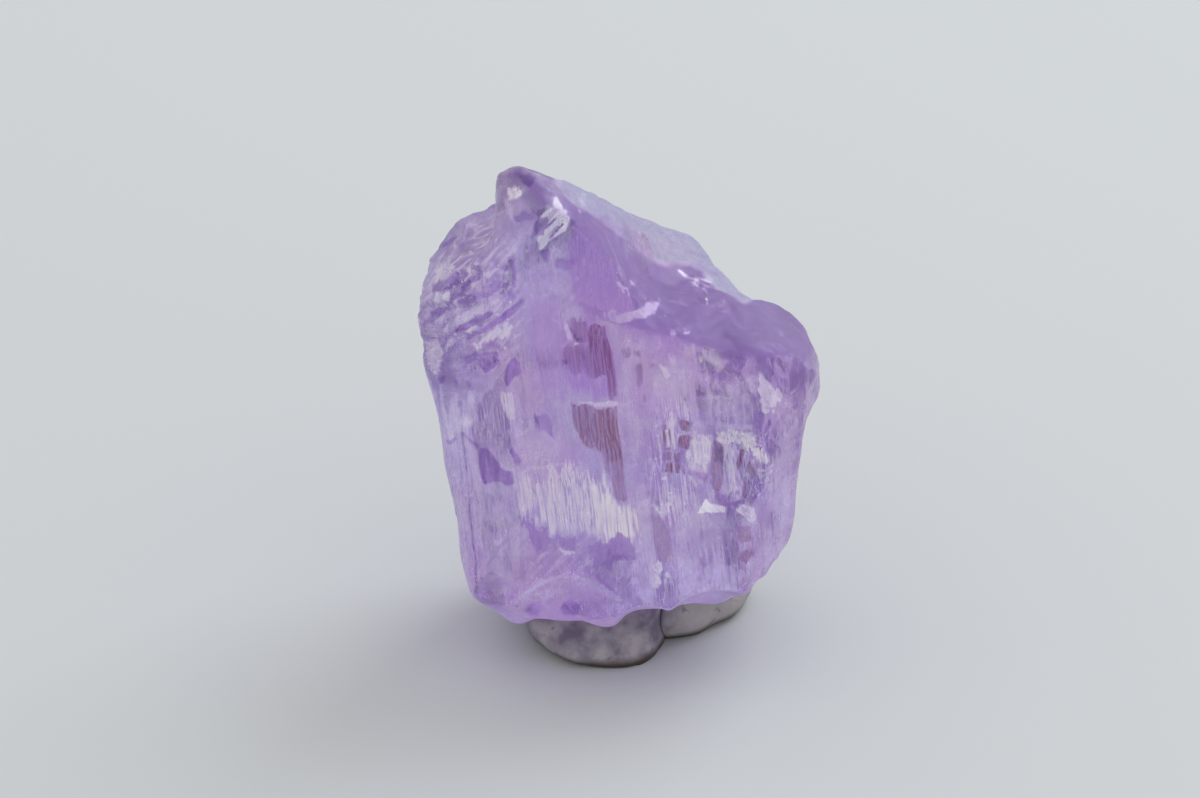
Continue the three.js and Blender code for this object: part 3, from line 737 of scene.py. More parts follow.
# %% [markdown]
# ## Dark strokes
# Where a ledge or a crack turns its back to the light, a deep violet line shows. Drawn as thin outlines, they
# can taper, which a line of one width can't.

# %% Dark strokes
STROKES = [
    ([(-7.7, 6.3), (-7.7, 6.5), (-6.9, 7.1), (-6.2, 7.6), (-6.1, 7.4), (-6.1, 7.1),
      (-6.6, 6.8)], 0.15, 0.05, 0.6),
    ([(-7.11, 5.84), (-6.6, 6.46), (-5.88, 6.87), (-5.69, 6.89), (-6.53, 6.32),
      (-7.04, 5.65)], 0.2, 0.05, 0.7),
    ([(-6.87, 4.74), (-5.84, 5.45), (-4.84, 5.99), (-4.56, 5.93), (-5.25, 5.45),
      (-6.35, 4.79)], 0.15, 0.05, 0.8),
    ([(-6.24, 4.48), (-4.9, 5.44), (-3.87, 6.11), (-3.07, 6.56), (-3.19, 6.27), (-3.82, 5.73), (-4.96, 5.12),
      (-6.0, 4.42)], 0.15, 0.05, 0.8),
    ([(-7.35, 7.71), (-6.82, 8.11), (-6.5, 8.21), (-6.98, 7.78), (-7.41, 7.49)], 0.25, 0.1, 0.6),
    ([(-6.08, 8.37), (-5.52, 8.49), (-5.77, 8.34)], 0.25, 0.1, 0.55),
    ([(-3.63, 8.51), (-3.43, 8.23), (-3.38, 7.67), (-3.49, 7.05), (-3.62, 7.06), (-3.56, 7.69),
      (-3.64, 8.24)], 0.18, 0.05, 0.75),
    ([(-3.76, 6.88), (-3.5, 6.78), (-3.53, 6.42), (-3.89, 6.57)], 0.2, 0.1, 0.65),
    ([(-5.7, 3.9), (-5.5, 3.8), (-5.1, 3.7), (-4.7, 3.8), (-4.6, 3.6), (-5.0, 3.3), (-5.4, 3.1),
      (-5.6, 3.3)], 0.12, 0.03, 1),
    ([(-3.9, 3.9), (-3.7, 3.5), (-3.7, 3.0), (-4.0, 2.9), (-4.4, 2.5), (-4.5, 2.9),
      (-4.3, 3.5)], 0.12, 0.05, 0.9),
    ([(-2.4, 9.8), (-2.2, 10.1), (-1.6, 10.1), (-1.8, 9.8), (-2.1, 9.3), (-2.3, 9.3)], 0.25, 0.15, 0.65),
    ([(-3.39, 10.03), (-2.9, 10.32), (-2.32, 10.37), (-2.54, 10.11), (-3.21, 9.87)], 0.25, 0.1, 0.65),
    ([(-1.6, 8.3), (-0.9, 8.2), (-0.5, 8.0), (-1.2, 7.7), (-1.6, 8.0)], 0.25, 0.2, 0.6),
    ([(-2.18, 8.88), (-1.83, 8.8), (-1.89, 8.27), (-2.2, 8.36)], 0.25, 0.3, 0.6),
    ([(-3.0, 11.8), (-2.5, 11.8), (-2.2, 11.6), (-2.5, 11.3), (-2.8, 11.5)], 0.25, 0, 1),
    ([(4.4, -3.2), (5.0, -3.5), (5.0, -3.9), (4.7, -3.9), (4.4, -3.6)], 0.25, 0.1, 0.85),
    ([(-6.0, -0.3), (-5.6, -0.3), (-5.1, -1.2), (-4.6, -1.6), (-4.6, -2.1), (-4.8, -2.1), (-5.3, -1.9),
      (-6.0, -1.9), (-6.1, -1.1)], 0.15, 0.1, 0.7),
    ([(-4.56, -0.14), (-4.35, -0.64), (-4.11, -1.03), (-4.4, -1.09), (-4.62, -0.69)], 0.12, 0.05, 0.85),
    ([(-3.4, 1.1), (-2.6, 0.9), (-2.6, 0.4), (-2.7, -0.2), (-3.0, 0.2), (-3.3, 0.7)], 0.15, 0.1, 0.65),
    ([(-4.6, -3.4), (-3.7, -4.1), (-2.5, -4.8), (-2.1, -4.9), (-2.2, -5.6), (-3.0, -5.0), (-3.9, -5.2),
      (-4.5, -3.9)], 0.2, 0.4, 0.6),
    ([(-1.6, -5.4), (-0.9, -5.0), (-0.2, -4.8), (0.5, -5.3), (0.5, -5.9), (-0.2, -6.1), (-1.0, -6.3),
      (-1.6, -5.9)], 0.2, 0.4, 0.65),
    ([(-4.7, -8.1), (-4.1, -7.7), (-4.0, -8.1), (-4.5, -9.0), (-4.8, -8.7)], 0.35, 0, 0.45),
    ([(-3.2, -8.2), (-2.7, -7.8), (-2.3, -8.2), (-2.6, -8.8), (-3.2, -8.7)], 0.35, 0, 0.85),
    ([(4.21, 2.56), (4.55, 2.42), (4.43, 2.25)], 0.2, 0.1, 0.7),
    ([(3.96, 1.61), (4.45, 1.49), (4.47, 1.27), (4.07, 1.31)], 0.25, 0.1, 0.5),
    ([(4.81, 1.5), (5.19, 1.45), (5.1, 1.21), (4.84, 1.27)], 0.25, 0.1, 0.45),
    ([(3.25, 5.48), (3.66, 5.33), (4.08, 5.0), (4.44, 4.7), (4.06, 4.88), (3.6, 5.11)], 0.2, 0, 0.6),
    ([(5.45, -3.91), (5.64, -3.72), (4.92, -3.95), (4.78, -4.26), (4.79, -4.64), (4.88, -4.64), (4.91, -4.27),
      (5.04, -4.05)], 0.18, 0, 0.6),
    ([(-6.19, 6.84), (-5.66, 7.3), (-5.02, 7.76), (-4.95, 7.62), (-5.48, 7.17),
      (-5.99, 6.78)], 0.15, 0.05, 0.65),
    ([(-6.4, 8.35), (-5.78, 8.48), (-5.48, 8.42), (-5.95, 8.24), (-6.33, 8.23)], 0.3, 0.2, 0.5),
    ([(-2.19, 8.78), (-1.83, 8.84), (-1.79, 8.41), (-2.14, 8.45)], 0.2, 0.1, 0.7),
    ([(-6.4, 3.61), (-5.63, 3.97), (-4.72, 4.09), (-4.58, 3.85), (-5.49, 3.66),
      (-6.26, 3.39)], 0.18, 0.05, 0.7),
    ([(-6.37, 6.3), (-5.7, 6.64), (-4.87, 6.87), (-4.17, 7.21), (-4.1, 7.06), (-4.81, 6.6), (-5.75, 6.21),
      (-6.38, 5.98)], 0.18, 0.05, 0.6),
    ([(-4.78, 7.21), (-4.14, 7.44), (-3.63, 7.25), (-3.69, 7.07), (-4.27, 7.16),
      (-4.76, 6.99)], 0.15, 0.05, 0.6),
    ([(-7.84, 5.48), (-7.2, 5.83), (-6.98, 5.71), (-7.3, 5.37), (-7.81, 5.19)], 0.18, 0.05, 0.6),
    ([(-5.4, 4.4), (-4.9, 4.6), (-4.5, 4.4), (-4.5, 4.1), (-5.0, 4.2), (-5.4, 4.0)], 0.15, 0.1, 0.5),
    ([(-7.67, 2.42), (-7.62, 2.65), (-7.42, 2.76), (-7.33, 2.67), (-7.47, 2.45)], 0.12, 0, 0.9),
    ([(-6.98, 2.61), (-6.78, 2.71), (-6.69, 2.37), (-6.89, 2.31)], 0.12, 0, 0.5),
    ([(-6.33, 2.65), (-6.18, 2.71), (-6.04, 2.46), (-6.19, 2.37)], 0.12, 0, 0.45),
    ([(-6.83, 0.36), (-6.69, 0.38), (-5.91, -0.1), (-6.02, -0.24)], 0.1, 0.05, 0.6),
    ([(-7.7, -0.29), (-7.11, 0.1), (-7.08, -0.04), (-7.61, -0.43)], 0.12, 0.05, 0.6),
    ([(-1.46, -6.68), (-1.31, -6.47), (-1.16, -6.8), (-0.61, -7.38), (-0.76, -7.42),
      (-1.22, -7.02)], 0.12, 0.03, 0.85),
    ([(-3.4, 9.99), (-2.76, 10.29), (-1.78, 10.52), (-1.41, 10.58), (-1.57, 10.35), (-2.54, 10.11),
      (-3.21, 9.91)], 0.15, 0.1, 0.6),
    ([(-2.06, 9.6), (-1.36, 10.11), (-1.3, 10.04), (-1.98, 9.5)], 0.1, 0.05, 0.7),
    ([(-1.78, 9.21), (-1.03, 9.9), (-0.97, 9.82), (-1.7, 9.12)], 0.1, 0.05, 0.7),
    ([(-1.97, 10.08), (-1.47, 10.39), (-1.43, 10.32), (-1.89, 9.99)], 0.1, 0.05, 0.6),
    ([(2.22, -0.84), (3.23, -1.13), (3.21, -1.21), (2.21, -0.96)], 0.12, 0, 0.9),
    ([(2.21, -1.37), (3.09, -1.59), (3.08, -1.68), (2.19, -1.49)], 0.12, 0, 0.8),
    ([(2.35, -0.91), (2.43, -0.92), (2.22, -2.06), (2.09, -2.04)], 0.12, 0, 0.9),
    ([(3.12, -1.14), (3.21, -1.21), (2.96, -2.01), (2.82, -1.99)], 0.12, 0, 0.8),
    ([(3.45, -0.74), (3.53, -0.77), (3.22, -1.44), (3.2, -2.23), (3.09, -2.21), (3.14, -1.42)], 0.12, 0, 0.6),
]
print(len(STROKES), "dark strokes")

# %% [markdown]
# ## Deeper colour, combed and slashed patches
# The sloping top and the middle are a deeper violet than the rest. Some patches are combed with hair-fine
# fibres along the crystal, and others are slashed by slanting breaks.

# %% Shades, combed patches and slashed patches
SHADES = [
    ([(0.9, 5.1), (2.7, 4.9), (4.2, 4.8), (5.7, 4.3), (7.1, 3.8), (8.1, 3.0), (8.7, 2.1), (9.1, 1.7),
      (8.6, 1.9), (7.6, 2.3), (6.9, 2.3), (5.9, 2.7), (5.4, 3.2), (4.4, 3.6), (4.0, 3.7), (3.0, 3.2),
      (2.2, 3.6), (1.8, 4.2), (1.0, 4.5)], 1.2, 0.1, 0.85),
    ([(-1.0, 10.7), (-0.5, 10.1), (0.1, 9.5), (0.8, 8.4), (1.8, 6.7), (2.6, 5.7), (3.5, 5.4), (4.1, 5.0),
      (4.6, 4.5), (4.2, 4.7), (3.0, 4.7), (1.9, 4.8), (0.9, 5.1), (0.1, 5.3), (-0.4, 5.2), (-0.9, 6.2),
      (-1.1, 8.0), (-0.7, 9.0), (-0.7, 9.9)], 0.6, 0.1, 1.15),
    ([(-2.5, 11.5), (-1.8, 11.4), (-1.4, 11.0), (-1.6, 10.7), (-2.1, 10.6), (-2.6, 11.0)], 0.35, 0, 0.6),
    ([(-2.5, 11.7), (-1.7, 11.3), (-1.1, 10.7), (-0.6, 10.1), (-0.2, 9.7), (-0.5, 10.1), (-0.8, 10.4),
      (-1.4, 10.9), (-2.4, 11.1), (-2.9, 12.0), (-3.7, 11.6)], 0.3, 0, 0.9),
    ([(-3.7, -7.0), (-1.9, -7.0), (-0.8, -7.9), (-1.2, -8.9), (-3.4, -9.2), (-4.2, -8.4)], 0.6, 0, 0.3),
    ([(-7.45, -4.66), (-6.14, -4.77), (-6.37, -5.67), (-7.3, -5.63)], 0.6, 0.3, 0.4),
    ([(-3.7, -5.2), (-1.8, -5.9), (-1.2, -6.7), (-3.7, -6.4), (-4.5, -5.7)], 0.7, 0.3, 0.4),
    ([(-2.9, 6.5), (-1.6, 6.3), (-1.5, 4.2), (-1.7, 1.7), (-2.7, 1.9), (-3.2, 4.1)], 0.7, 0.4, 0.6),
    ([(1.37, 0.04), (2.25, -0.07), (1.89, -3.37), (1.24, -3.26)], 0.6, 0.3, 0.35),
    ([(6.6, 0.5), (7.3, 0.2), (7.3, -1.3), (6.7, -2.2), (6.4, -1.3)], 0.5, 0.3, 0.5),
    ([(6.0, -3.2), (7.0, -3.5), (6.7, -5.6), (6.1, -5.6), (5.8, -3.8)], 0.5, 0.4, 0.3),
    ([(-1.6, 5.3), (-0.3, 5.4), (0.4, 4.8), (0.6, 3.4), (0.5, 1.5), (-0.7, 1.7), (-1.7, 2.3),
      (-2.0, 3.8)], 0.5, 0.2, 1),
    ([(5.5, 3.2), (5.9, 2.8), (8.2, 2.1), (9.1, 1.7), (9.1, 0.2), (8.1, 0.7), (6.7, 2.1),
      (6.0, 2.1)], 0.8, 0.2, 0.6),
]
COMBED = [
    ([(-4.6, -1.4), (-2.4, -1.2), (-0.7, -1.7), (1.1, -2.8), (1.0, -5.4), (-1.1, -5.3), (-3.6, -4.1),
      (-5.0, -3.1)], 0.8, 0.3, 0.5),
    ([(2.2, 1.3), (3.8, 0.7), (3.9, -0.8), (3.2, -4.4), (1.5, -4.7), (1.4, -1.9)], 0.6, 0.3, 0.9),
    ([(-8.3, 1.3), (-3.8, 2.1), (-4.2, -1.4), (-5.1, -5.6), (-7.6, -5.8), (-7.8, -2.1)], 0.8, 0.3, 0.6),
    ([(0.37, -4.69), (6.17, -5.39), (5.42, -8.19), (0.5, -7.95)], 0.8, 0.3, 0.7),
    ([(4.28, -0.32), (7.31, -0.77), (6.92, -4.24), (3.94, -3.76)], 0.5, 0.2, 0.7),
]
SLASHED = [
    ([(-7.9, 7.1), (-7.1, 8.1), (-4.0, 9.6), (-3.0, 9.2), (-3.2, 6.5), (-3.6, 4.4), (-6.0, 3.7), (-8.0, 3.9),
      (-8.3, 5.8)], 0.8, 0.3, 0.85),
    ([(-4.0, 10.4), (-1.2, 10.8), (-0.1, 9.4), (0.2, 6.1), (-1.7, 5.4), (-3.1, 6.5),
      (-3.3, 9.2)], 0.8, 0.3, 0.4),
    ([(-7.6, -3.8), (-2.8, -4.4), (0.8, -5.1), (0.6, -7.0), (-7.4, -7.0)], 0.8, 0.3, 0.5),
]
print(len(SHADES), "shades", len(COMBED), "combed patches", len(SLASHED), "slashed patches")

# %% [markdown]
# ## Forms on the front
# Besides the marks, the front has a few plain forms: round knuckles, rings round the one on the right, an
# arched lip over the foot and a bent tube. Each is a hill or a dip that depends on the distance to a point
# or a line.

# %% Crest, knuckles, lip, tube and rings
# The pale back of the sloping top, seen from above: to the right and to the back.
CREST = [(-0.74, -3.42), (-0.16, -2.83), (0.69, -1.76), (1.79, -0.18), (2.59, 0.79), (3.6, 1.61),
         (4.21, 1.89), (4.57, 1.29), (5.4, -0.27), (6.1, -1.1), (7.2, 2.0), (5.5, 5.2),
         (0.5, 6.2), (-2.2, 4.0), (-1.6, -2.6)]
# Round knuckles: across, along, radius, height.
KNUCKLES = [(4.9, 2.95, 0.8, 0.15), (3.88, 3.45, 0.45, 0.08), (5.25, 1.66, 0.6, 0.09),
            (4.54, 1.13, 0.55, 0.08), (7.1, 1.5, 0.75, 0.16), (7.9, -0.9, 0.6, 0.12),
            (-4.46, -8.33, 0.42, -0.14), (-2.79, -8.29, 0.48, -0.16)]
LIP = [(-5.38, -7.85), (-4.87, -7.3), (-3.96, -6.84), (-3.15, -6.63), (-1.71, -6.86), (-1.02, -7.23),
       (-0.36, -7.68)]
TUBE = [(4.77, -4.7), (4.77, -4.31), (4.9, -3.96), (5.28, -3.82), (5.66, -3.68)]
RING_CENTRE, RING_GAP = (7.9, -0.9), 0.36
print("forms:", len(KNUCKLES), "knuckles, a lip of", len(LIP), "points and a tube of", len(TUBE))

# %% [markdown]
# ## The relief as one sum
# A sculptor would carve these marks one after another. Here each is a height above or below the skin, so they
# are added up, and every point of the skin moves that far along its own direction. Only what faces the front
# takes the front's marks, and the prism faces alone take the growth strips.

# %% Heights in millimetres, below zero where a mark is sunk
RAISED = {"pane": -0.12, "cell": -0.10, "groove": -0.09, "finger": 0.07, "cream": -0.05, "stroke": -0.06}
TEAR_HEIGHT, NOTCH_DEPTH, RING_HEIGHT = 0.05, 0.08, 0.04
LIP_HEIGHT, LIP_WIDTH, TUBE_DEPTH, TUBE_WIDTH = 0.09, 0.45, 0.08, 0.28
BROAD_STRIP, FINE_STRIP, MIDDLE_STRIP = 0.035, 0.02, 0.027
KINDS = {"pane": PANES, "cell": CELLS, "groove": GROOVES, "finger": FINGERS, "cream": CREAM, "flash": FLASHES,
         "haze": HAZE, "stroke": STROKES, "shade": SHADES, "combed": COMBED, "slashed": SLASHED}


def front_forms(t, z, prism, pane):
    """Knuckles and rings, the lip and the tube, the notched band over the foot, and the growth strips."""
    knuckle = sum(h * (1 - rise(0.0, r, np.hypot(t - a, z - b))) for a, b, r, h in KNUCKLES)
    far = np.hypot(t - RING_CENTRE[0], z - RING_CENTRE[1])
    rings = RING_HEIGHT * zigzag(far / RING_GAP) * rise(0.3, 0.5, far) * (1 - rise(0.9, 1.3, far))
    notched = rise(-6.4, -5.0, z) * (1 - rise(-4.6, -3.4, z)) * rise(-5.0, -4.0, t) * (1 - rise(0.8, 1.6, t))
    notches = NOTCH_DEPTH * notched * laths(t, z, width=0.55, length=1.6, seed=31)
    lip, tube = LIP_HEIGHT * near_line(t, z, LIP, LIP_WIDTH), TUBE_DEPTH * near_line(t, z, TUBE, TUBE_WIDTH)
    strips = BROAD_STRIP * laths(t, z, width=0.42, length=2.6, seed=61)
    strips = strips + FINE_STRIP * laths(t, z, width=0.29, length=1.5, seed=62) - MIDDLE_STRIP
    return knuckle + rings + lip - tube - notches + strips * prism * (1 - 0.8 * pane)


def etch(points, normals):
    """The relief in mm, each kind's ramp and strength, what each kind weighs, and where the prism is."""
    x, y, z = points.T
    t = along_face(x, y, MAIN[0])
    # Seen from the front and a little above.
    seen = rise(0.02, 0.2, 0.5 * normals[:, 2] - 0.85 * normals[:, 1])
    layers = {name: mark_layer(t, z, seen, marks) for name, marks in KINDS.items()}
    deep = {name: strength * rise(0.1, 0.9, ramp) for name, (ramp, strength) in layers.items()}
    top = rise(0.25, 0.5, normals[:, 2])
    deep["crest"] = within(x, y, CREST, 0.5) * top * rise(3.0, 3.8, z)
    violet_top = top * rise(-2.0, -0.6, x) * (1.1 - 0.35 * rise(3.0, 5.5, x))
    deep["shade"] = np.maximum(deep["shade"], violet_top) * (1 - deep["crest"])
    prism = 1 - rise(0.35, 0.65, np.abs(normals[:, 2]))
    torn = TEAR_HEIGHT * deep["flash"] * (laths(t - 0.5 * z, z, width=0.33, length=1.2, seed=71) - 0.3)
    marked = sum(height * deep[name] for name, height in RAISED.items()) + torn
    return marked + front_forms(t, z, prism, deep["pane"]) * seen, layers, deep, prism


# %% Etch the crystal
normals = skin_normals(local, crystal_quads)
relief, layers, deep, prism = etch(local, normals)
skin = local + relief[:, None] * normals
crystal = add_mesh("kunzite_crystal", skin @ STANCE.T + CENTRE, crystal_quads)
print("relief from", round(relief.min(), 2), "to", round(relief.max(), 2), "mm;",
      {name: round(100 * float((w > 0.2).mean()), 1) for name, w in deep.items()}, "% of the skin")

# %% [markdown]
# ## Weights for the stone's look
# The shader needs to know, at each point of the skin, how much of each look to show. Painting them by hand
# would tie them to one mesh, so they are worked out from the same marks and saved as attributes. Marks with
# torn or cut edges store the ramp itself, so that the shader can find the edge and make it crisp.

# %% How much of each look
x, y, z = local.T
across = along_face(x, y, MAIN[0])
upward = rise(0.25, 0.55, normals[:, 2])
foot = rise(0.25, 0.5, -normals[:, 2])
flank = rise(0.45, 0.85, np.abs(normals[:, 0]))
shaded = np.minimum(deep["shade"], 1)
cloud = 0.5 + 0.5 * np.clip(lumps(x, y, z, 0.75) / 1.2, -1, 1)
streak = 0.5 + 0.5 * np.clip(lumps(2.2 * across, y, 0.3 * z, 1.9) / 1.2, -1, 1)
# Milky in cloudy streaks, low on the flanks and at the foot; frosted on top, at the foot and on the crest.
milky = 0.20 + 0.16 * cloud * streak + 0.24 * flank * (1 - upward) * rise(3, -3, z + 0.5 * x) + 0.12 * foot
frost = 0.16 + 0.16 * cloud + 0.25 * upward + 0.22 * foot + 0.2 * deep["crest"] + 0.12 * upward * shaded
weights = {
    "grain": local,
    "prism": prism,
    "crest": deep["crest"],
    "haze": np.maximum.reduce([deep["haze"], milky * (1 - 0.8 * shaded), 0.75 * deep["crest"]]),
    "shade": deep["shade"],
    "slashed": deep["slashed"],
    "combed": np.maximum(deep["combed"], 0.22 * prism),
    "sharp": 1 - 0.5 * upward - 0.75 * foot,
    "frost": frost * (1 - 0.6 * deep["pane"]),
}


def strongest(*names):
    """The highest ramp of several kinds of mark, and the strength that goes with it."""
    ramps, strengths = (np.stack([layers[name][k] for name in names]) for k in (0, 1))
    best = ramps.argmax(0)[None]
    return np.take_along_axis(ramps, best, 0)[0], np.take_along_axis(strengths, best, 0)[0]


for name, kinds in (("mauve", ("pane", "cell", "groove")), ("stroke", ("stroke",)), ("flash", ("flash",)),
                    ("cream", ("cream", "finger"))):
    weights[name + " edge"], weights[name] = strongest(*kinds)
print("looks worked out:", ", ".join(weights))


# %% Store the weights on the skin
def store(thing, name, values):
    """Saves one number, or three, for each point of the mesh under the given name."""
    kind, slot = ("FLOAT_VECTOR", "vector") if values.ndim == 2 else ("FLOAT", "value")
    layer = thing.data.attributes.new(name, kind, "POINT")
    layer.data.foreach_set(slot, values.astype(np.float32).ravel())


for name, values in weights.items():
    store(crystal, name, values)
    print(name, "from", round(float(values.min()), 2), "to", round(float(values.max()), 2))

# %% [markdown]
# ## Kunzite
# Kunzite is clear lilac spodumene, and nature etched its skin instead of polishing it. Clear stone is plain
# transmission, bent as spodumene bends light, with an absorption that takes green most. Lilac paint would be
# simpler, but no light would pass. The skin is frosted, with fibres along the crystal, fine pits on the
# slanting faces and a white haze where it is torn. To the eye that gives a soft glow in the body, bright torn
# edges and mauve windows where the skin is sunk. The white flashes are painted highlights, and the windows'
# mauve is painted shade.

# %% Colours of the stone, and its weights as sockets
STONE_COOL, STONE_WARM = linear("#e9e8ff"), linear("#fbe6f2")
VIOLET, INK, SHADE_LINE_VIOLET = linear("#dcb0f6"), linear("#c992ec"), linear("#ba88e2")
# Painted shade: MAUVE, and ROSE low down, colour the sunk windows as the dark seen through the stone.
MAUVE, ROSE = linear("#8a4280"), linear("#a05a62")
VEIL, BLUE_VEIL, CREST_VEIL = linear("#dacbf0"), linear("#d8c8fd"), linear("#9593b2")
# GLINT is the white of the painted highlights.
GLINT, CREAM_TINT = linear("#f8f4ff"), linear("#f1e8f0")
SPODUMENE_IOR = 1.66
BODY_COLOUR, BODY_DENSITY = linear("#c779ed"), 62.0
SKIN_BUMP = 1.4e-5

kunzite, tree, output = new_material("kunzite")
layer = {}
for name in weights:
    layer[name] = add(tree, "Attribute", attribute_name=name, output="Vector" if name == "grain" else "Fac")
print("kunzite reads", len(layer), "weights from the skin")


# %% The stone's grain, in bumps to the millimetre
# Real fibres are finer still. These are as wide as they need to be to show.
FIBRES_PER_MM, HAIRS_PER_MM, PITS_PER_MM = 7.0, 16.0, 4.5


def grain(bumps, detail=3.0, rough=0.6, stretch=(1, 1, 1), lean=0.0):
    """Cloudy noise, so many bumps to the millimetre, turned by some radians and stretched along the axes."""
    where = layer["grain"]
    if lean:
        where = add(tree, "Mapping", where, Rotation=(0, lean, 0))
    where = add(tree, "Mapping", where, Scale=stretch)
    return add(tree, "TexNoise", where, bumps, detail, rough)


def away(noise):
    """How far the noise is from a half, its middle value. It is near 0 along thin winding lines."""
    return add(tree, "Math", add(tree, "Math", noise, 0.5, operation="SUBTRACT"), operation="ABSOLUTE")


fibres = grain(1.0, stretch=(FIBRES_PER_MM, FIBRES_PER_MM, 0.5))
hairs = grain(1.0, detail=1.5, stretch=(HAIRS_PER_MM, HAIRS_PER_MM, 0.35))
slanting = grain(1.0, detail=2.0, stretch=(FIBRES_PER_MM, FIBRES_PER_MM, 0.9), lean=0.7)
slashes = grain(1.0, stretch=(4.0, 4.0, 0.45), lean=-0.85)
cracks = add(tree, "MapRange", away(grain(1.0, detail=1.0, stretch=(3.5, 3.5, 0.12))), 0.008, 0.03)
pits = grain(PITS_PER_MM)
clouds = grain(0.9, detail=3.0)
regions = grain(0.16, detail=1.0)
wander = grain(0.7, detail=2.0, stretch=(1.3, 1.3, 0.6))
to_right, _, upwards = add(tree, "SeparateXYZ", layer["grain"]).node.outputs
texture = add(tree, "Mix", layer["prism"], pits, fibres, data_type="FLOAT")
torn = add(tree, "Mix", add(tree, "MapRange", to_right, 0.5, 1.5), slashes, slanting, data_type="FLOAT")
print("mm wide:", {"fibre": round(1 / FIBRES_PER_MM, 2), "hair": round(1 / HAIRS_PER_MM, 2),
                   "pit": round(1 / PITS_PER_MM, 2)})

# %% [markdown]
# ## Marks made crisp
# A weight stored at the points can't be sharper than the mesh. So the shader adds noise to each ramp and cuts
# it near a half: fibres fray the windows, pits nibble the strokes, and the torn grain splits the flashes.

# %% How a mark is cut and lined
def crisp(name, push, amount, spread, noise, low, high, least):
    """A mark's weight, cut where its ramp, moved by the push noise, crosses a half.

    It is dimmed to a least share where another noise is low.
    """
    pushed = add(tree, "Math", push, amount, -amount / 2, operation="MULTIPLY_ADD")
    moved = add(tree, "Math", layer[name + " edge"], pushed, operation="ADD")
    inside = add(tree, "MapRange", moved, 0.5 - spread, 0.5 + spread)
    weight = add(tree, "Math", inside, layer[name], operation="MULTIPLY")
    return add(tree, "Math", weight, add(tree, "MapRange", noise, low, high, least), operation="MULTIPLY")


def lines(*ends):
    """Lines on the slashed and the combed patches: from and to what noise, and from and to what weight."""
    slashed = add(tree, "Math", layer["slashed"], add(tree, "MapRange", slashes, *ends), operation="MULTIPLY")
    combed = add(tree, "Math", layer["combed"], add(tree, "MapRange", hairs, *ends), operation="MULTIPLY")
    return add(tree, "Math", slashed, combed, operation="MAXIMUM")


# %% Windows and torn patches
# Painted shade in the windows: the dark seen through the clear stone, painted mauve.
mauve_shade_now = crisp("mauve", fibres, 0.7, 0.12, hairs, 0.44, 0.54, 0.45)
# Painted highlights: the white flashes of the cleavage faces.
flash_now = crisp("flash", torn, 0.9, 0.15, torn, 0.34, 0.48, 0.65)
lined = add(tree, "Math", layer["slashed"], layer["combed"], operation="MAXIMUM")
# Painted sparkle: small bright specks on the combed and slashed patches.
painted_sparkle = add(tree, "MapRange", grain(4.0, detail=0.0), 0.72, 0.77, 0.0, 0.8)
painted_sparkle = add(tree, "Math", painted_sparkle, lined, operation="MULTIPLY")
flash_now = add(tree, "Math", flash_now, painted_sparkle, operation="MAXIMUM")
print("windows and torn patches:", len(tree.nodes), "nodes so far")

# %% Dark strokes
# Painted shade: deep violet strokes where ledges and cracks turn away from the light.
stroke_now = crisp("stroke", pits, 0.7, 0.15, clouds, 0.35, 0.6, 0.7)
unlit = add(tree, "Math", 1.0, flash_now, operation="SUBTRACT")
dark_lines = add(tree, "Math", lines(0.46, 0.37, 0.0, 0.45), unlit, operation="MULTIPLY")
stroke_now = add(tree, "Math", stroke_now, dark_lines, operation="MAXIMUM")
print("dark strokes:", len(tree.nodes), "nodes so far")

# %% Cream, haze, pale lines, and veins with painted sparkle
# Partly painted light: the cream stands in for the bright floor seen through the stone, as well as pale
# fibres.
cream_now = crisp("cream", hairs, 1.3, 0.3, hairs, 0.38, 0.48, 0.7)
unbroken = add(tree, "MapRange", cracks, 0.0, 1.0, 0.35)
cream_now = add(tree, "Math", cream_now, unbroken, operation="MULTIPLY")
thickness = add(tree, "MapRange", clouds, 0.35, 0.65, 0.6, 1.25)
haze_now = add(tree, "Math", layer["haze"], thickness, operation="MULTIPLY")
# On the slashed patches the pale lines are partly painted highlight, where the slanting breaks catch the
# light; on the combed patches they are pale fibres.
pale_now = add(tree, "Math", haze_now, lines(0.51, 0.59, 0.0, 0.8), operation="MAXIMUM")
pale_now = add(tree, "Math", pale_now, cream_now, operation="MAXIMUM")
pale_now = add(tree, "Math", pale_now, flash_now, operation="MAXIMUM")
# Thin pale veins, partly real and partly painted sparkle: bright winding lines over the whole skin.
pale_vein_sparkle = add(tree, "MapRange", away(wander), 0.0, 0.010, 0.25, 0.0)
pale_now = add(tree, "Math", pale_now, pale_vein_sparkle, operation="ADD", use_clamp=True)
print("pale marks:", len(tree.nodes), "nodes so far")


# %% Colour of the skin
def coated(tree, colour, *coats):
    """Lays coats over a colour, one after another. Each is a weight, 0 to 1, and a colour."""
    for weight, over in coats:
        colour = add(tree, "Mix", weight, colour, over, data_type="RGBA")
    return colour


warm = add(tree, "MapRange", regions, 0.40, 0.60)
pitted = add(tree, "MapRange", pits, 0.42, 0.60, 0.0, 0.35)
blotch = add(tree, "MapRange", grain(0.5, detail=2.0), 0.56, 0.64, 0.0, 0.35)
shaded_now = add(tree, "Math", layer["shade"], blotch, operation="MAXIMUM", use_clamp=True)
inky = add(tree, "Math", layer["shade"], 0.9, operation="SUBTRACT", use_clamp=True)
at_foot = add(tree, "MapRange", upwards, -4.0, -7.0)
veil = coated(tree, VEIL, (at_foot, BLUE_VEIL), (layer["crest"], CREST_VEIL), (flash_now, GLINT),
              (cream_now, CREAM_TINT))
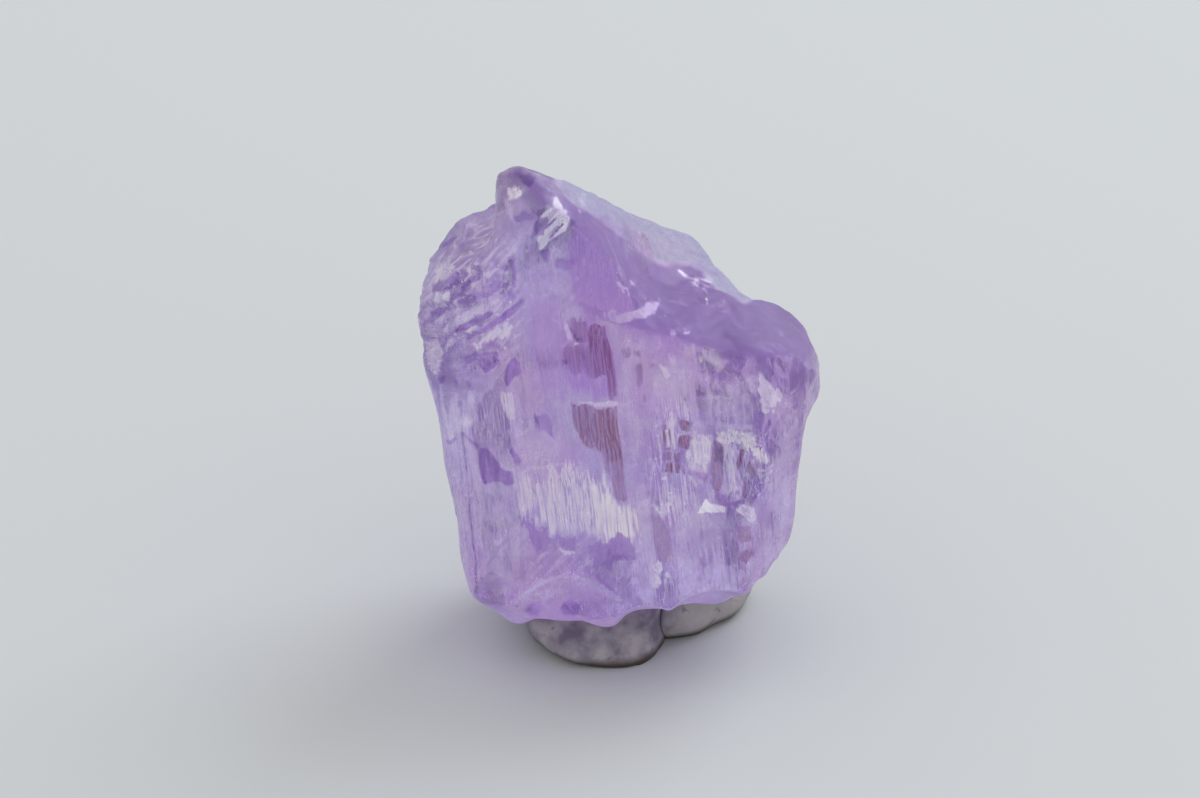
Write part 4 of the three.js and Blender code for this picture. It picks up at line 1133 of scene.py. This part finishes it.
# The windows' painted shade: rose low down, mauve higher up.
window = coated(tree, ROSE, (add(tree, "MapRange", upwards, 0.8, 2.0), MAUVE))
colour = coated(tree, STONE_COOL, (warm, STONE_WARM), (pitted, VIOLET), (shaded_now, VIOLET), (inky, INK),
                (pale_now, veil), (stroke_now, SHADE_LINE_VIOLET), (mauve_shade_now, window))
print("colour of the skin:", len(tree.nodes), "nodes so far")

# %% Surface and body of the stone
dark = add(tree, "Math", mauve_shade_now, stroke_now, operation="MAXIMUM")
bare = add(tree, "Math", 1.0, dark, operation="SUBTRACT")
covered = add(tree, "Math", pale_now, bare, operation="MULTIPLY")
clearness = add(tree, "Math", covered, -0.9, 1.0, operation="MULTIPLY_ADD", use_clamp=True)
uneven = add(tree, "Math", texture, 0.4, -0.2, operation="MULTIPLY_ADD")
rough = add(tree, "Math", layer["frost"], uneven, operation="ADD", use_clamp=True)
bump = add(tree, "Bump", Strength=layer["sharp"], Distance=SKIN_BUMP, Height=texture)
stone = add(tree, "BsdfPrincipled", Base_Color=colour, Roughness=rough, IOR=SPODUMENE_IOR,
            Transmission_Weight=clearness, Normal=bump)
tree.links.new(stone, output.inputs["Surface"])
tint = add(tree, "VolumeAbsorption", Color=BODY_COLOUR, Density=BODY_DENSITY)
tree.links.new(tint, output.inputs["Volume"])
crystal.data.materials.append(kunzite)
print("kunzite:", len(tree.nodes), "nodes")

# %% [markdown]
# ## Mounting putty
# Putty is pinched off, dropped under the stone and pressed: a flattened ball with the marks of a thumb and a
# finger, cut flat by the table and moulded to the stone above it. It could be sculpted, but as a field it
# takes the shape of the stone's own underside. The stone was pressed in from above, so each lump ends a
# tenth of a millimetre under it.

# %% Putty shapes
MOULD_GAP, CONTACT_GAP = 0.1, 0.01
THUMB_MELT, THUMB_LUMPS = 0.16, 0.05


def pinch(middle, halves, degrees, presses, thumb, thumb_radius):
    """A ball stretched to three half sizes and turned, less flat presses and the ball of a thumb.

    Each press is a bearing, a slope and a distance from the middle.
    """
    co, si = np.cos(np.radians(degrees)), np.sin(np.radians(degrees))
    a, b, c = halves
    facing = np.array([outward(bearing, slope) for bearing, slope, _ in presses])
    reach = np.array([distance for _, _, distance in presses])

    def field(p):
        q = p - np.array(middle)
        along, over = (co * q[:, 0] + si * q[:, 1]) / a, (co * q[:, 1] - si * q[:, 0]) / b
        ball = (np.sqrt(along ** 2 + over ** 2 + (q[:, 2] / c) ** 2) - 1) * min(halves)
        dent = thumb_radius - np.linalg.norm(p - np.array(thumb), axis=1)
        cuts = np.column_stack([ball, q @ facing.T - reach, dent])
        return melted(cuts, THUMB_MELT) - THUMB_LUMPS * lumps(*p.T, 1.4)
    return field


def pressed(lump, neighbour=None):
    """The lump, cut by the table, by the stone above and by the lump pressed against it."""
    def field(p):
        out = np.maximum(lump(p), MOULD_GAP - crystal_field((p - CENTRE) @ STANCE))
        if neighbour:
            out = np.maximum(out, CONTACT_GAP - neighbour(p))
        return np.maximum(out, -p[:, 2])
    return field


FRONT_PINCH = pinch((-0.74, -0.83, 1.2), (3.85, 5.1, 1.9), 8,
                    [(-18, 26, 3.6), (28, 14, 3.55), (74, 4, 3.05)], (0.35, -9.4, 2.8), 5.3)
BACK_PINCH = pinch((2.72, 0.52, 1.3), (4.0, 2.9, 1.8), 41, [(48, 20, 2.1)], (9.2, -5.0, 2.2), 5.6)

# %% Grow the putty
PUTTY_REACH = 7
PUTTY_GRID = box_grid((60, 60, 30), (3.2, 3.6, 1.8))
front_points, quads = grow(pressed(FRONT_PINCH), (-0.74, -0.93, 0.45), PUTTY_REACH, PUTTY_GRID)
putty_front = add_mesh("front_putty", front_points, quads)
back_points, quads = grow(pressed(BACK_PINCH, FRONT_PINCH), (3.78, 1.33, 0.4), PUTTY_REACH, PUTTY_GRID)
putty_back = add_mesh("back_putty", back_points, quads)
for lump in (front_points, back_points):
    print("putty lump:", np.round(lump.min(0), 1), "to", np.round(lump.max(0), 1), "mm")

# %% [markdown]
# ## The putty's finish
# Mounting putty is a soft, dull rubber filled with chalk. Handling leaves it dented, with dark specks. Its
# colour
# also holds painted light and shade: to the left, on the front lump, it is a darker lilac grey, painted shade
# with the lilac light that comes through the stone; to the right it is a lighter painted grey, where the lamp
# lights the back lump; and low down a dark brown painted contact shadow runs where it meets the table. Its
# patterns follow the piece's own place, in bumps to the metre: dents are about a millimetre wide, and specks
# under half of that.
# A picture could be wrapped round it, but noise has no seams.

# %% The putty material
# Painted shade and light: a darker lilac grey where the stone shades the putty and tints its light, and a
# lighter grey where the lamp falls.
SHADED_LILAC_GREY, LIT_GREY, CHALKY = linear("#6a5f74"), linear("#98928f"), linear("#a59da2")
# The dark brown is a painted contact shadow.
SPECKLED, CONTACT_SHADOW_BROWN = linear("#7a7075"), linear("#43372f")
DENTS_PER_M, SPECKS_PER_M, DENT_DEPTH = 900.0, 2600.0, 4e-5

putty, tree, output = new_material("mounting putty")
spot = add(tree, "TexCoord", output="Object")
dents = add(tree, "TexNoise", spot, Scale=DENTS_PER_M, Detail=3.0, Roughness=0.55)
specks = add(tree, "TexNoise", spot, Scale=SPECKS_PER_M, Detail=1.0)
to_right, _, upwards = add(tree, "SeparateXYZ", spot).node.outputs
# Painted light: the putty turns lighter to the right, where the back lump faces the lamp.
lit_to_right = add(tree, "MapRange", to_right, 0.0018, 0.003)
chalky = add(tree, "MapRange", dents, 0.35, 0.65)
speckled = add(tree, "MapRange", specks, 0.66, 0.80)
# Painted contact shadow: dark brown in the lowest half millimetre, where the putty meets the table.
contact_shadow = add(tree, "MapRange", upwards, 0.0006, 0.0002)
grey = coated(tree, SHADED_LILAC_GREY, (lit_to_right, LIT_GREY), (chalky, CHALKY), (speckled, SPECKLED), (contact_shadow, CONTACT_SHADOW_BROWN))
bump = add(tree, "Bump", Strength=1.0, Distance=DENT_DEPTH, Height=dents)
shader = add(tree, "BsdfPrincipled", Base_Color=grey, Roughness=0.62, Normal=bump)
tree.links.new(shader, output.inputs["Surface"])
for lump in (putty_front, putty_back):
    lump.data.materials.append(putty)
print("mounting putty:", len(tree.nodes), "nodes")

# %% [markdown]
# ## Joining the frame
# Each finished piece rides the model's one body and takes the place of its plain piece.

# %% Join to the frame
for piece, node, slot in ((crystal, "crystal", "kunzite"), (putty_front, "putty_front", "putty"),
                          (putty_back, "putty_back", "putty")):
    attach(piece, "root")
    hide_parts(node)
